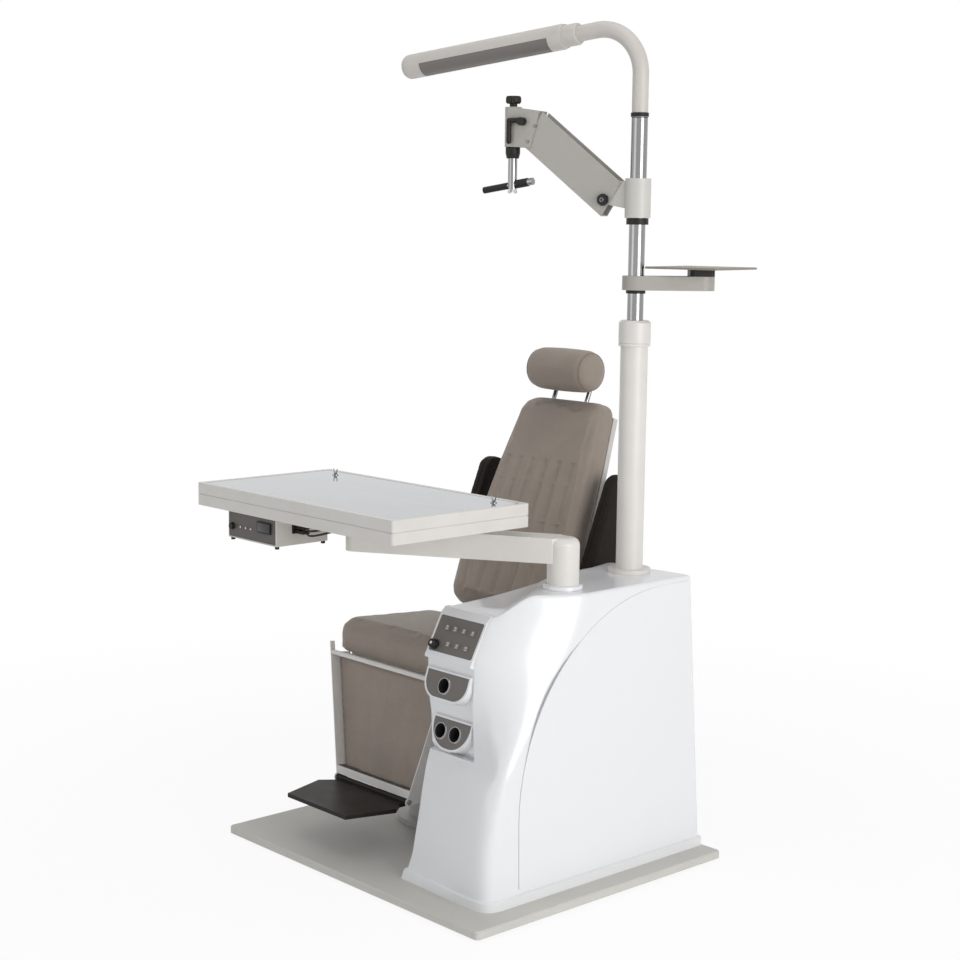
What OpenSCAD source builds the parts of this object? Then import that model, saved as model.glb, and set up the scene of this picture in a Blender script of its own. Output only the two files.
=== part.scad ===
// Ophthalmic examination unit: chair, moulded console, swing table and instrument column.
// Origin: centre of the base's footprint on the floor. The chair faces -Y, the console is at +X.

/* [Base] */
// Width of the base plate, side to side
base_w = 912; // [880:1:960]
// Depth of the base plate, front to back
base_d = 790; // [770:1:850]
// Thickness of the base plate
base_t = 18; // [12:1:24]
// Radius of the base plate's corners in plan
base_corner = 10; // [4:1:30]
// Bevel along the base plate's top edge
base_bevel = 3; // [1:0.5:6]
// Diameter of a foot pad
foot_d = 60; // [40:1:90]
// Height of a foot pad
foot_h = 6; // [4:0.5:10]
// Distance from the base plate's edge to a foot pad's centre
foot_inset = 65; // [50:1:90]

/* [Console] */
// Height of the console above the base plate
console_h = 666; // [640:1:700]
// Width of the console at its foot
console_w = 289; // [275:1:300]
// Depth of the console at its foot, from its rear face to its nose
console_d = 703; // [690:1:712]
// Distance from the base plate's side edge to the console
console_side_gap = 62; // [55:1:80]
// Distance from the base plate's rear edge to the console
console_rear_gap = 7; // [4:1:14]
// How far the chair-side face leans in from foot to top
console_in_draft = 7; // [2:1:14]
// How far the outer face leans in from foot to top
console_out_draft = 14; // [4:1:24]
// How far the rear face leans in from foot to top
console_rear_draft = 40; // [20:1:50]
// Height of the foot skirt
skirt_h = 20; // [12:1:30]
// How far the foot skirt stands out
skirt_out = 6; // [3:1:8]
// Radius of the console's upright corners
console_corner = 9; // [5:1:14]
// Radius of the console's top edge
console_edge = 8; // [4:1:12]
// Thickness of the side panel
side_panel_t = 2.5; // [1.5:0.5:4]
// Margin of the side panel to the console's rear edge
side_panel_rear = 14; // [8:1:24]
// Margin of the side panel to the console's foot
side_panel_foot = 34; // [24:1:60]
// Margin of the side panel to the console's top
side_panel_top = 12; // [9:1:30]

/* [Console head] */
// Width of the head block on the console's front
head_w = 154; // [150:1:165]
// Tilt of the instrument pods from upright
pod_tilt = 18; // [10:1:24]
// Width of the upper pod
pod_upper_w = 146; // [136:1:150]
// Height of the upper pod along its face
pod_upper_h = 67; // [62:1:70]
// Corner radius of the upper pod
pod_upper_r = 44; // [30:1:50]
// Width of the lower pod
pod_lower_w = 131; // [124:1:140]
// Height of the lower pod along its face
pod_lower_h = 74; // [70:1:78]
// Corner radius of the lower pod
pod_lower_r = 60; // [40:1:61]
// Sideways offset of the lower pod from the head's centre
pod_lower_shift = 5; // [0:1:6]
// How far a pod's top edge stands out of the head
pod_proud = 5; // [3:1:9]
// Depth of a pod behind its face
pod_depth = 34; // [30:1:40]
// Width of a pod's rim
pod_rim = 4.5; // [3:0.5:6]
// Thickness of a dark pod plate
plate_t = 2.2; // [1.5:0.1:3]
// Step from a rim down to the plate inside it
plate_step = 1; // [0.5:0.1:2]
// Inner diameter of an instrument cup
cup_bore = 32; // [28:0.5:33]
// Wall of an instrument cup
cup_wall = 1.5; // [1:0.25:2]
// Depth of an instrument cup
cup_depth = 42; // [36:1:46]
// Width of a cup's flange round its mouth
cup_flange = 3; // [2:0.5:3.5]
// Height of a cup's flange
cup_flange_t = 1.6; // [1:0.1:2.4]
// Distance between the two cups of the lower pod
cup_pitch = 48; // [46:1:52]
// Depth of the cups' centres below a pod's top edge
cup_drop = 34; // [32:1:36]
// Width of the keypad plate
keypad_w = 144; // [136:1:147]
// Length of the keypad plate along the slope
keypad_h = 86; // [80:1:90]
// Diameter of the keypad's knob
panel_knob_d = 24; // [18:1:26]
// Height of the keypad's knob
panel_knob_h = 15; // [10:1:18]

/* [Column] */
// Distance of the column's axis from the base's centre line, towards the console
column_x = 258; // [250:1:266]
// Distance of the column's axis behind the base's centre
column_y = 262; // [255:1:268]
// Height of the column tube's top above the floor
column_top = 1226; // [1150:1:1300]
// Diameter of the column tube
column_d = 64; // [58:1:68]
// Diameter of the ring where the column leaves the console
column_ring_d = 100; // [88:1:104]
// Diameter of the collar on the column
collar_d = 75; // [70:1:80]
// Height of the collar on the column
collar_h = 60; // [50:1:70]
// Diameter of the chromed pole
pole_d = 38; // [34:1:40]
// Depth to which the pole is held in the column
pole_seat = 130; // [100:1:160]
// Height of a ring where a post leaves the console
ring_h = 10; // [6:1:14]
// Running clearance round a shaft, on the radius
run_fit = 0.05; // [0.02:0.01:0.1]
// Clearance between pieces that turn past each other
turn_gap = 0.4; // [0.3:0.05:0.6]

/* [Table] */
// Distance of the table post's axis from the base's centre line
post_x = 300; // [294:1:305]
// Distance of the table post's axis in front of the base's centre
post_front = 2; // [0:1:8]
// Diameter of the table post
post_d = 73.5; // [68:0.5:78]
// Diameter of the ring under the table post
post_ring_d = 89; // [84:1:96]
// Height of the post from its ring to the beam's underside
post_h = 50; // [44:1:70]
// Diameter of the spindle on which the post turns
spindle_d = 40; // [34:1:46]
// Distance from the post to the table's centre
beam_reach = 499; // [480:1:520]
// Direction of the beam, seen from above
beam_dir = 209.4; // [205:0.2:214]
// Height of the beam at the post
beam_h = 57; // [50:1:64]
// How much deeper the beam's underside runs under the table
beam_sag = 6; // [2:1:10]
// Width of the beam at its table end
beam_w = 58; // [50:1:66]
// Thickness of the mounting plate between beam and table
mount_t = 19; // [14:1:24]
// Side of the mounting plate
mount_w = 152; // [130:1:170]
// Width of the table, side to side
table_w = 736; // [700:1:760]
// Depth of the table, front to back
table_d = 402; // [380:1:420]
// Height of the table's apron
table_h = 54; // [46:1:60]
// Margin of the apron round the glass
glass_inset = 15; // [10:1:24]
// Thickness of the glass inlay
glass_t = 5; // [4:0.5:8]
// Height of the seam that runs round the apron
seam_h = 1.6; // [1:0.2:2.4]
// Depth of the seam that runs round the apron
seam_depth = 1.4; // [0.8:0.2:2]

/* [Control box] */
// Width of the control box under the table
box_w = 193; // [180:1:205]
// Depth of the control box
box_d = 150; // [130:1:165]
// Height of the control box
box_h = 66; // [58:1:72]
// Distance from the table's middle to the control box
box_off = 72; // [66:1:80]
// Distance from the table's front edge to the control box
box_front = 18; // [12:1:26]
// Diameter of the box's knob
box_knob_d = 17; // [14:1:20]
// Height of the box's knob
box_knob_h = 9; // [7:1:12]
// Diameter of a lead from the box to the beam
lead_d = 5; // [4:0.5:6]

/* [Instrument arm] */
// Direction of the instrument arm, seen from above
arm_dir = 195; // [185:1:205]
// Height of the arm's clamp on the pole
clamp_h = 90; // [84:1:100]
// Outer diameter of the arm's clamp
clamp_d = 60; // [56:1:64]
// Distance from the shelf bracket's underside to the arm's clamp
clamp_lift = 166; // [160:1:200]
// Distance of the beam's lower pivot from the pole's axis
arm_pivot_out = 81; // [78:1:90]
// Height of the lower pivot above the clamp's underside
arm_pivot_rise = 41; // [38:1:46]
// Length between the pivots of the beam and of the link
arm_len = 247.7; // [235:1:265]
// Slope of the arm at rest
arm_slope = 33.3; // [25:0.1:38]
// Height of the link's pivots above the beam's pivots
link_rise = 36; // [34:1:38]
// How far the link's pivots lie behind the beam's pivots
link_back = 20; // [16:1:24]
// Outer width of the arm's channel
channel_w = 32; // [30:1:34]
// Wall of the arm's channel
channel_t = 3; // [2:0.5:3.5]
// Thickness of a cheek of the arm's head
cheek_t = 3.7; // [3:0.1:4.5]
// Diameter of the pivot pins
arm_pin_d = 8; // [7:0.5:9]
// Diameter of the head's barrel
barrel_d = 40; // [36:1:42]
// Height of the head's barrel
barrel_h = 94; // [90:1:100]
// Distance from the beam's head pivot to the barrel's axis
barrel_out = 53; // [51:1:60]
// Diameter of the instrument pin
pin_d = 22; // [18:1:24]
// Length of the instrument pin below the black clamp
pin_len = 74; // [66:1:90]
// Height of the black clamp under the barrel
nose_h = 27; // [22:1:32]
// Diameter of the star knob
star_d = 37; // [32:1:42]
// Length of the cross rod
rod_len = 140; // [120:1:150]
// Tilt of the cross rod
rod_tilt = 9; // [0:1:14]
// Diameter of the cross rod's core
rod_d = 12; // [10:1:13]

/* [Lamp] */
// Direction of the lamp, seen from above
lamp_dir = 193; // [185:1:205]
// Height of the pole above the arm's clamp
pole_over = 137; // [125:1:160]
// Straight length of the lamp tube above the pole
lamp_straight = 97; // [90:1:140]
// Radius of the lamp tube's bend
lamp_bend = 105; // [95:1:120]
// Diameter of the lamp tube
lamp_tube_d = 38; // [36:1:40]
// Droop of the lamp below level
lamp_droop = 6.7; // [4:0.1:10]
// Straight length of the lamp tube after the bend
lamp_run = 66; // [55:1:80]
// Length of the lamp housing
lamp_len = 470; // [430:1:500]
// Diameter of the lamp housing
lamp_d = 60; // [54:1:64]
// Length of the lamp's collar
lamp_collar_len = 40; // [34:1:48]
// Width of the diffuser
diffuser_w = 40; // [34:1:44]
// Length of the diffuser
diffuser_len = 375; // [340:1:400]

/* [Shelf] */
// Direction of the shelf bracket, seen from above
shelf_dir = 50; // [40:1:60]
// Distance from the pole to the shelf's centre
shelf_reach = 152; // [145:1:170]
// Distance from the column's collar to the shelf bracket
shelf_lift = 70; // [60:1:90]
// Height of the shelf bracket
shelf_arm_h = 33; // [28:1:38]
// Width of the shelf bracket
shelf_arm_w = 64; // [60:1:70]
// Side of the shelf plate
shelf_w = 192; // [180:1:200]
// Thickness of the shelf plate
shelf_t = 5; // [3:0.5:8]
// Turn of the shelf plate, seen from above
shelf_turn = 11; // [0:1:20]
// Height of the black block under the shelf plate
shelf_block_h = 17; // [12:1:20]

/* [Chair] */
// Distance of the chair's centre from the base's centre line
chair_off = 170; // [165:1:180]
// Height of the seat frame's top above the floor
seat_z = 437; // [430:1:445]
// Thickness of the seat frame
seat_frame_t = 20; // [16:1:24]
// Width of the seat cushion
seat_w = 466; // [446:1:474]
// Depth of the seat cushion
seat_d = 332; // [325:1:336]
// Thickness of the seat cushion at its front
seat_t = 76; // [66:1:80]
// Distance of the seat's front edge in front of the base's centre
seat_front = 110; // [106:1:114]
// Lean of the backrest from upright
back_lean = 21.7; // [18:0.1:24]
// Distance of the recline axis behind the base's centre
recline_y = 265; // [262:1:270]
// Height of the recline axis above the seat frame's top
recline_rise = 25; // [22:1:30]
// Length of the backrest cushion
back_len = 590; // [550:1:590]
// Thickness of the backrest cushion
back_t = 80; // [70:1:84]
// Half of the backrest cushion's greatest width
back_half = 204; // [198:1:206]
// Depth of the sewn channels
channel_depth = 5; // [3:0.5:8]
// Thickness of the back frame
back_frame_t = 16; // [15:1:20]
// Length of the headrest bolster
bolster_len = 222; // [230:1:250]
// Diameter of the headrest bolster
bolster_d = 120; // [110:1:126]
// Diameter of the headrest stays
stay_d = 12; // [10:1:13]
// Distance between the headrest stays
stay_pitch = 120; // [100:1:140]
// Length of an armrest
armrest_len = 276; // [260:1:290]
// Depth of an armrest
armrest_d = 100; // [94:1:106]
// Thickness of an armrest
armrest_t = 38; // [32:1:40]
// Distance of an armrest's inner face from the chair's centre
armrest_off = 212; // [209:1:214]
// Diameter of the armrest and recline pins
chair_pin_d = 12; // [10:1:13]

/* [Leg rest] */
// Lean of the leg rest from upright
leg_lean = 8.2; // [6:0.1:10]
// Height of the leg rest along its face
leg_h = 316; // [305:1:325]
// Height of the leg rest's lower edge above the floor
leg_z = 150; // [148:1:154]
// Distance of the leg rest's lower edge in front of the base's centre
leg_front = 175; // [172:1:178]
// Half width of the leg rest at its lower edge
leg_low = 138; // [132:1:142]
// Half width of the leg rest at its upper edge
leg_high = 223; // [216:1:228]
// Depth of the leg rest's side plates
leg_d = 62; // [56:1:66]
// Sheet thickness of the leg rest
leg_sheet = 2.5; // [2:0.5:4]
// Height of the lip at the leg rest's lower edge
leg_flange = 19; // [15:1:22]
// Diameter of the tube across the leg rest's top
leg_bar_d = 12; // [10:1:14]
// Reach of the footrest plate in front of its hinge
foot_reach = 172; // [160:1:185]
// Thickness of the footrest plate
foot_plate_t = 10; // [8:1:12]
// Half width of the footrest plate at its widest
foot_half = 150; // [140:1:156]
// Diameter of the footrest's hinge bolts
hinge_bolt_d = 8; // [6:0.5:9]
// Diameter of the fixed tube of the chair's lift
lift_d = 170; // [150:1:190]
// Diameter of the moving tube of the chair's lift
ram_d = 120; // [100:1:130]
// Height of the fixed tube of the chair's lift
lift_h = 276; // [260:1:290]

/* [Hidden] */
$fn = 64;
over = 1;

// Heights of the main stations above the floor
base_top = foot_h + base_t;
console_top = base_top + console_h;
ring_top = console_top + ring_h;
collar_top = column_top + collar_h;
shelf_z = collar_top + shelf_lift;
clamp_z = shelf_z + clamp_lift;
pole_top = clamp_z + clamp_h + pole_over;
beam_z = ring_top + post_h;
table_z = beam_z + beam_h + mount_t;
table_top = table_z + table_h;

// Faces of the console at its foot, and the posts that rise through it
console_out_x = base_w / 2 - console_side_gap;
console_in_x = console_out_x - console_w;
console_rear_y = base_d / 2 - console_rear_gap;
post_y = -post_front;
ring_seat = 2 * ring_h;
post_hole = 2 * turn_gap;

// The console's front: [share of height, share of depth] along its inner and its outer side
front_in_shares = [[0, 0.984], [0.054, 0.964], [0.093, 0.949], [0.264, 0.922], [0.384, 0.9],
  [0.444, 0.882], [0.632, 0.893], [0.736, 0.888], [0.784, 0.89], [0.91, 0.831], [0.928, 0.817],
  [1.02, 0.8]];
front_out_shares = [[0, 1], [0.084, 1.01], [0.183, 1.007], [0.281, 0.991], [0.374, 0.96],
  [0.467, 0.927], [0.557, 0.875], [0.662, 0.822], [0.734, 0.801], [0.809, 0.787], [0.928, 0.751],
  [1.02, 0.722]];
// How sharply the nose turns into the outer side, and where that turn ends
nose_power_shares = [[0, 9], [0.414, 7], [0.565, 4], [0.67, 2.6], [0.809, 1.8], [0.928, 1.6],
  [1.02, 1.6]];
flank_shares = [[0, 0.808], [0.414, 0.765], [0.662, 0.637], [0.809, 0.595], [0.928, 0.552],
  [1.02, 0.536]];
// How far the top sinks along the chair side: [share of depth, share of height]
sink_shares = [[0, 0.007], [0.038, 0.009], [0.193, 0.024], [0.371, 0.039], [0.58, 0.06],
  [0.819, 0.072], [1, 0.072]];
// Where the sinking starts and ends across the top: [share of depth, share of width]
sink_start_shares = [[0, 0], [0.5, 0], [0.819, 0.56], [1, 0.56]];
sink_end_shares = [[0, 0.2], [0.4, 0.24], [0.56, 0.5], [0.62, 0.62], [0.819, 1], [1, 1]];
// Heights at which the console's skin has a row of points
row_shares = concat([0.09, 0.204, 0.324, 0.384, 0.414, 0.444], [for (k = [1:22]) 0.444 + 0.02527 * k]);
// Shares of the way from the top's edge to its middle
crest_shares = [0.1, 0.22, 0.36, 0.52, 0.7, 0.88];

// The head block's profile: [share of the console's depth, share of its height]
head_back_share = 0.801;
head_foot_share = 0.4414;
head_chin_shares = [[0.856, 0.4414], [0.868, 0.4625], [0.873, 0.569], [0.882, 0.625],
  [0.888, 0.736], [0.888, 0.76], [0.903, 0.766], [0.903, 0.775]];
slope_foot_shares = [0.898, 0.784];
slope_top_shares = [0.835, 0.91];
head_crest_shares = [0.817, 0.928];
pod_upper_share = 0.733;
pod_lower_share = 0.569;
head_edge = 3;

function lerp(a, b, t) = a + (b - a) * t;
function ease(t) = let (c = min(max(t, 0), 1)) c * c * (3 - 2 * c);
function smooth(s, t) = (lookup(s - 0.04, t) + lookup(s, t) + lookup(s + 0.04, t)) / 3;
function height_share(z) = (z - base_top) / console_h;
function depth_share(y) = (console_rear_y - y) / console_d;
function share_y(s) = console_rear_y - s * console_d;
function share_z(s) = base_top + s * console_h;
function skin_in_x(z) = console_in_x + console_in_draft * height_share(z);
function skin_out_x(z) = console_out_x - console_out_draft * height_share(z);
function skin_rear_y(z) = console_rear_y - console_rear_draft * height_share(z);
head_x1 = skin_in_x(share_z(head_foot_share)) + head_w;
head_x0 = head_x1 - head_w;
head_mid = (head_x0 + head_x1) / 2;

// Where the nose's curve starts: at the inner corner below, beside the head block above
function nose_start(z) =
  lerp(skin_in_x(z) + 2 * console_corner, head_x1 + head_edge, ease((height_share(z) - 0.38) / 0.064));

// Height of the console's top at a place in plan
function top_z(x, y) = let (d = depth_share(y), s = (x - skin_in_x(console_top))
    / (skin_out_x(console_top) - skin_in_x(console_top)),
    a = lookup(d, sink_start_shares), b = lookup(d, sink_end_shares))
  console_top - console_h * lookup(d, sink_shares) * (1 - ease((s - a) / (b - a)));

// One closed row of the console's outline at height z, drawn in by an inset
function skin_row(z, inset) = let (h = height_share(z), xi = skin_in_x(z) + inset,
    xo = skin_out_x(z) - inset, yr = skin_rear_y(z) - inset,
    yi = share_y(lookup(h, front_in_shares)) + inset,
    yo = share_y(smooth(h, front_out_shares)) + inset,
    ye = share_y(smooth(h, flank_shares)), xs = nose_start(z),
    p = 2 / smooth(h, nose_power_shares), r = console_corner, m = r * (1 - cos(45)))
  concat([[xi + m, yi + m], [xi + r, yi]],
    [for (k = [0:nose_steps]) let (a = 90 * k / nose_steps, s = pow(sin(a), p), c = pow(cos(a), p))
      [lerp(xs, xo, s), lerp(ye, lerp(yi, yo, s), c)]],
    [for (k = [1:flank_steps]) [xo, lerp(ye, yr - r, k / flank_steps)]],
    [[xo - m, yr - m], [xo - r, yr], [xi + r, yr], [xi + m, yr - m]],
    [for (k = [0:flank_steps - 1]) [xi, lerp(yr - r, yi + 2 * r, k / flank_steps)]], [[xi, yi + r]]);
nose_steps = 20;
flank_steps = 9;

// The same row, with every point lowered where the top sinks
function sunk_row(share, inset, rise) = let (nominal = skin_row(console_top, 0))
  [for (i = [0:len(nominal) - 1]) let (crest = top_z(nominal[i].x, nominal[i].y),
      z = lerp(base_top, crest - console_edge, share) + rise, p = skin_row(z, inset)[i])
    [p.x, p.y, z]];
function crest_row(share) = let (edge = skin_row(console_top, console_edge),
    mid = lerp(skin_in_x(console_top), skin_out_x(console_top), 0.5))
  [for (p = edge) let (x = lerp(p.x, mid, share),
      y = lerp(p.y, min(max(p.y, share_y(0.66)), share_y(0.18)), share)) [x, y, top_z(x, y)]];

// A closed skin through rows of points, which ends in a flat face or at a tip
module loft(rows, tip) {
  n = len(rows[0]);
  last = len(rows) - 1;
  points = concat([for (r = rows) each r], tip == undef ? [] : [tip]);
  sides = [for (j = [0:last - 1], i = [0:n - 1])
    let (a = j * n + i, b = a + n, d = j * n + (i + 1) % n, c = d + n)
    each norm(points[a] - points[c]) < norm(points[b] - points[d])
      ? [[a, b, c], [a, c, d]] : [[a, b, d], [b, c, d]]];
  cap = tip == undef ? [[for (i = [n - 1:-1:0]) last * n + i]]
    : [for (i = [0:n - 1]) [last * n + i, len(points) - 1, last * n + (i + 1) % n]];
  polyhedron(points = points, convexity = 8, faces = concat(sides, cap, [[for (i = [0:n - 1]) i]]));
}

module console_skin() {
  skirt = [for (z = [base_top, base_top + skirt_h])
    [for (p = skin_row(z, -skirt_out)) [p.x, p.y, z]]];
  ledge = base_top + skirt_h + head_edge;
  rows = concat(skirt, [[for (p = skin_row(ledge, 0)) [p.x, p.y, ledge]]],
    [for (s = row_shares) sunk_row(s, 0, 0)],
    [for (a = [30, 60]) sunk_row(1, console_edge * (1 - cos(a)), console_edge * sin(a))],
    [crest_row(0)], [for (s = crest_shares) crest_row(s)]);
  x = lerp(skin_in_x(console_top), skin_out_x(console_top), 0.5);
  y = share_y(0.42);
  loft(rows, [x, y, top_z(x, y)]);
}

module round_rect(w, d, r) {
  square([w - 2 * r, d], center = true);
  square([w, d - 2 * r], center = true);
  for (x = [-1, 1], y = [-1, 1])
    translate([x * (w / 2 - r), y * (d / 2 - r)])
      circle(r = r);
}

module round_block(w, d, h, r) {
  linear_extrude(height = h)
    round_rect(w, d, r);
}

module on_column() {
  translate([column_x, column_y, 0])
    children();
}

module ring(outer, bore, h) {
  difference() {
    cylinder(h = h, d = outer);
    up(-over)
      cylinder(h = h + 2 * over, d = bore);
  }
}

module up(z) {
  translate([0, 0, z])
    children();
}

// A plate from x to x + w, drawn in (y, z)
module cross_plate(x, w) {
  translate([x, 0, 0])
    rotate([90, 0, 90])
      linear_extrude(height = w)
        children();
}

// A round bar about a cross axis, middled on x = 0
module across(h, d) {
  rotate([0, 90, 0])
    cylinder(h = h, d = d, center = true);
}

// A frame that leans back: local y runs up the face and local z points out of it
module leaning(y, z, lean) {
  translate([0, y, z])
    rotate([90 - lean, 0, 0])
      children();
}

// Base

module base_plate() {
  color("gainsboro") up(foot_h)
    hull()
      for (x = [-1, 1], y = [-1, 1])
        translate([x * (base_w / 2 - base_corner), y * (base_d / 2 - base_corner), 0]) {
          cylinder(h = base_t - base_bevel, r = base_corner, $fn = 32);
          cylinder(h = base_t, r = base_corner - base_bevel, $fn = 32);
        }
}

module base_feet() {
  color("dimgray") for (s = [[0, 0], [-1, -1], [-1, 1], [1, -1], [1, 1]])
    translate([s.x * (base_w / 2 - foot_inset), s.y * (base_d / 2 - foot_inset), 0])
      cylinder(h = foot_h, d = foot_d);
}

// Console

module post_holes(fit) {
  on_column()
    up(base_top - over) {
      cylinder(h = console_h + ring_h + over, d = column_d + fit);
      up(console_h - ring_seat + over)
        cylinder(h = 2 * ring_seat, d = column_ring_d + fit);
    }
  translate([post_x, post_y, base_top - over]) {
    cylinder(h = console_h + ring_h + over, d = spindle_d + fit);
    up(console_h - ring_seat + over)
      cylinder(h = 2 * ring_seat, d = post_ring_d + fit);
  }
}

module console_shell() {
  notch_y = share_y(head_back_share);
  color("white") difference() {
    console_skin();
    translate([head_x1 - console_w, notch_y - console_d, share_z(head_foot_share)])
      cube([console_w, console_d, console_h]);
    post_holes(post_hole);
  }
}

module pod_outline(w, h, r) {
  intersection() {
    translate([-w / 2, -h])
      square([w, h]);
    union() {
      translate([-w / 2, r - h])
        square([w, h]);
      translate([r - w / 2, -h])
        square([w - 2 * r, h]);
      for (x = [-1, 1])
        translate([x * (w / 2 - r), r - h])
          circle(r = r);
    }
  }
}

// Each pod: [share of height of its top edge, width, height, corner radius, sideways shift, cup places]
pods = [[pod_upper_share, pod_upper_w, pod_upper_h, pod_upper_r, 0, [-cup_wall * 4]],
  [pod_lower_share, pod_lower_w, pod_lower_h, pod_lower_r, pod_lower_shift,
    [-cup_pitch / 2 - cup_flange * 3, cup_pitch / 2 - cup_flange * 3]]];

module on_pod(pod) {
  face_y = share_y(lookup(pod[0], [for (p = head_chin_shares) [p[1], p[0]]]));
  translate([head_mid + pod[4], 0, 0])
    leaning(face_y - pod_proud, share_z(pod[0]), pod_tilt)
      children();
}

module on_slope() {
  foot = [share_y(slope_foot_shares[0]), share_z(slope_foot_shares[1])];
  crest = [share_y(slope_top_shares[0]), share_z(slope_top_shares[1])];
  translate([head_mid, 0, 0])
    leaning((foot.x + crest.x) / 2, (foot.y + crest.y) / 2, atan2(crest.x - foot.x, crest.y - foot.y))
      children();
}

module console_head() {
  back = share_y(head_back_share);
  profile = concat([[back, share_z(head_foot_share)]],
    [for (s = concat(head_chin_shares, [slope_foot_shares, slope_top_shares, head_crest_shares]))
      [share_y(s[0]), share_z(s[1])]],
    [[back, top_z(head_mid, back)]]);
  color("whitesmoke") difference() {
    union() {
      cross_plate(head_x0, head_x1 - head_x0)
        polygon(profile);
      for (pod = pods)
        on_pod(pod)
          up(-pod_depth)
            linear_extrude(height = pod_depth)
              pod_outline(pod[1], pod[2], pod[3]);
    }
    for (pod = pods)
      on_pod(pod) {
        translate([0, over, -plate_t - plate_step])
          linear_extrude(height = pod_depth)
            pod_outline(pod[1] + 2 * over, pod[2] + 2 * over, pod[3] + over);
        for (x = pod[5])
          translate([x, -cup_drop, -cup_depth - cup_wall - plate_step])
            cylinder(h = cup_depth + pod_depth, d = cup_bore + 2 * cup_wall);
      }
    on_slope()
      up(-plate_t - plate_step)
        round_block(keypad_w, keypad_h, pod_depth, pod_rim);
  }
}

module pod_rims() {
  color("whitesmoke") for (pod = pods)
    on_pod(pod)
      up(-plate_t - plate_step)
        linear_extrude(height = plate_t + plate_step)
          difference() {
            pod_outline(pod[1], pod[2], pod[3]);
            translate([0, -pod_rim])
              pod_outline(pod[1] - 2 * pod_rim, pod[2] - 2 * pod_rim, pod[3] - pod_rim);
          }
}

module pod_plates() {
  color("dimgray") for (pod = pods)
    on_pod(pod)
      difference() {
        translate([0, -pod_rim, -plate_t - plate_step])
          linear_extrude(height = plate_t)
            pod_outline(pod[1] - 2 * pod_rim, pod[2] - 2 * pod_rim, pod[3] - pod_rim);
        for (x = pod[5])
          translate([x, -cup_drop, -pod_depth])
            cylinder(h = 2 * pod_depth, d = cup_bore + 2 * cup_wall);
      }
}

module pod_cups() {
  color("silver") for (pod = pods)
    on_pod(pod)
      for (x = pod[5])
        translate([x, -cup_drop, -plate_step])
          rotate_extrude()
            polygon([[0, -cup_depth - cup_wall], [cup_bore / 2 + cup_wall, -cup_depth - cup_wall],
              [cup_bore / 2 + cup_wall, 0], [cup_bore / 2 + cup_wall + cup_flange, 0],
              [cup_bore / 2 + cup_wall + cup_flange / 2, cup_flange_t],
              [cup_bore / 2 + cup_wall / 2, cup_flange_t], [cup_bore / 2, 0],
              [cup_bore / 2, -cup_depth], [0, -cup_depth]]);
}

module keypad_plate() {
  color("dimgray") on_slope() up(-plate_t - plate_step)
    difference() {
      round_block(keypad_w, keypad_h, plate_t, pod_rim);
      translate([knob_place.x, knob_place.y, -over])
        cylinder(h = plate_t + 2 * over, d = knob_stem_d + 2 * run_fit);
    }
}

knob_stem_d = panel_knob_d / 3;
knob_inset = panel_knob_d / 2 + cup_flange;
knob_place = [knob_inset - keypad_w / 2, knob_inset - keypad_h / 2];

module panel_knob() {
  color("black") on_slope() translate([knob_place.x, knob_place.y, -plate_t - plate_step])
    rotate_extrude()
      polygon([[0, 0], [knob_stem_d / 2, 0], [knob_stem_d / 2, plate_t + turn_gap],
        [panel_knob_d / 2, plate_t + turn_gap], [panel_knob_d / 2, plate_t + panel_knob_h / 4],
        [panel_knob_d * 0.43, plate_t + panel_knob_h * 0.85],
        [panel_knob_d * 0.38, plate_t + panel_knob_h], [0, plate_t + panel_knob_h]]);
}

// Outline of the service panel on the outer face: its front edge is a quarter ellipse
module side_panel() {
  lean = atan2(console_out_draft, console_h);
  rear = console_rear_y - side_panel_rear;
  crown = console_h - side_panel_top;
  sweep_centre = [share_y(0.196), 0.264 * console_h];
  sweep = [0.663 * console_d, crown - sweep_centre.y];
  rear_lean = console_rear_draft / console_h;
  outline = concat([[rear - rear_lean * crown, crown]],
    [for (a = [90:4.5:180]) [sweep_centre.x + sweep.x * cos(a), sweep_centre.y + sweep.y * sin(a)]],
    [[sweep_centre.x - sweep.x, side_panel_foot],
      [rear - rear_lean * side_panel_foot, side_panel_foot]]);
  color("white") translate([console_out_x + run_fit, 0, base_top])
    rotate([0, -lean, 0])
      rotate([90, 0, 90])
        linear_extrude(height = side_panel_t)
          polygon(outline);
}

// Column and the posts in the console

module column_tube() {
  color("gainsboro") on_column() {
    up(base_top)
      difference() {
        cylinder(h = column_top - base_top, d = column_d);
        up(column_top - base_top - pole_seat)
          cylinder(h = pole_seat + over, d = pole_d);
      }
    up(ring_top - ring_seat)
      ring(column_ring_d, column_d - over, ring_seat);
  }
}

module table_spindle() {
  color("gainsboro") translate([post_x, post_y, base_top]) {
    cylinder(h = beam_z + beam_h / 2 - base_top, d = spindle_d);
    up(ring_top - ring_seat - base_top)
      cylinder(h = ring_seat, d = post_ring_d);
  }
}

module column_collar() {
  bevel = (collar_d - column_d) / 2;
  bead = bevel / 4;
  color("gainsboro") on_column() up(column_top)
    rotate_extrude()
      polygon([[pole_d / 2, 0], [collar_d / 2 - bead, 0], [collar_d / 2, bead],
        [collar_d / 2, bevel], [collar_d / 2 - bead, bevel + bead],
        [collar_d / 2, bevel + 2 * bead], [collar_d / 2, collar_h - bevel],
        [collar_d / 2 - bevel, collar_h], [pole_d / 2, collar_h]]);
}

spigot_d = pole_d * 0.78;
spigot_h = lamp_straight * 0.75;
module pole() {
  bottom = column_top - pole_seat;
  color("silver") on_column() up(bottom) {
    cylinder(h = pole_top - bottom, d = pole_d);
    cylinder(h = pole_top + spigot_h - bottom, d = spigot_d);
  }
}

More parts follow.
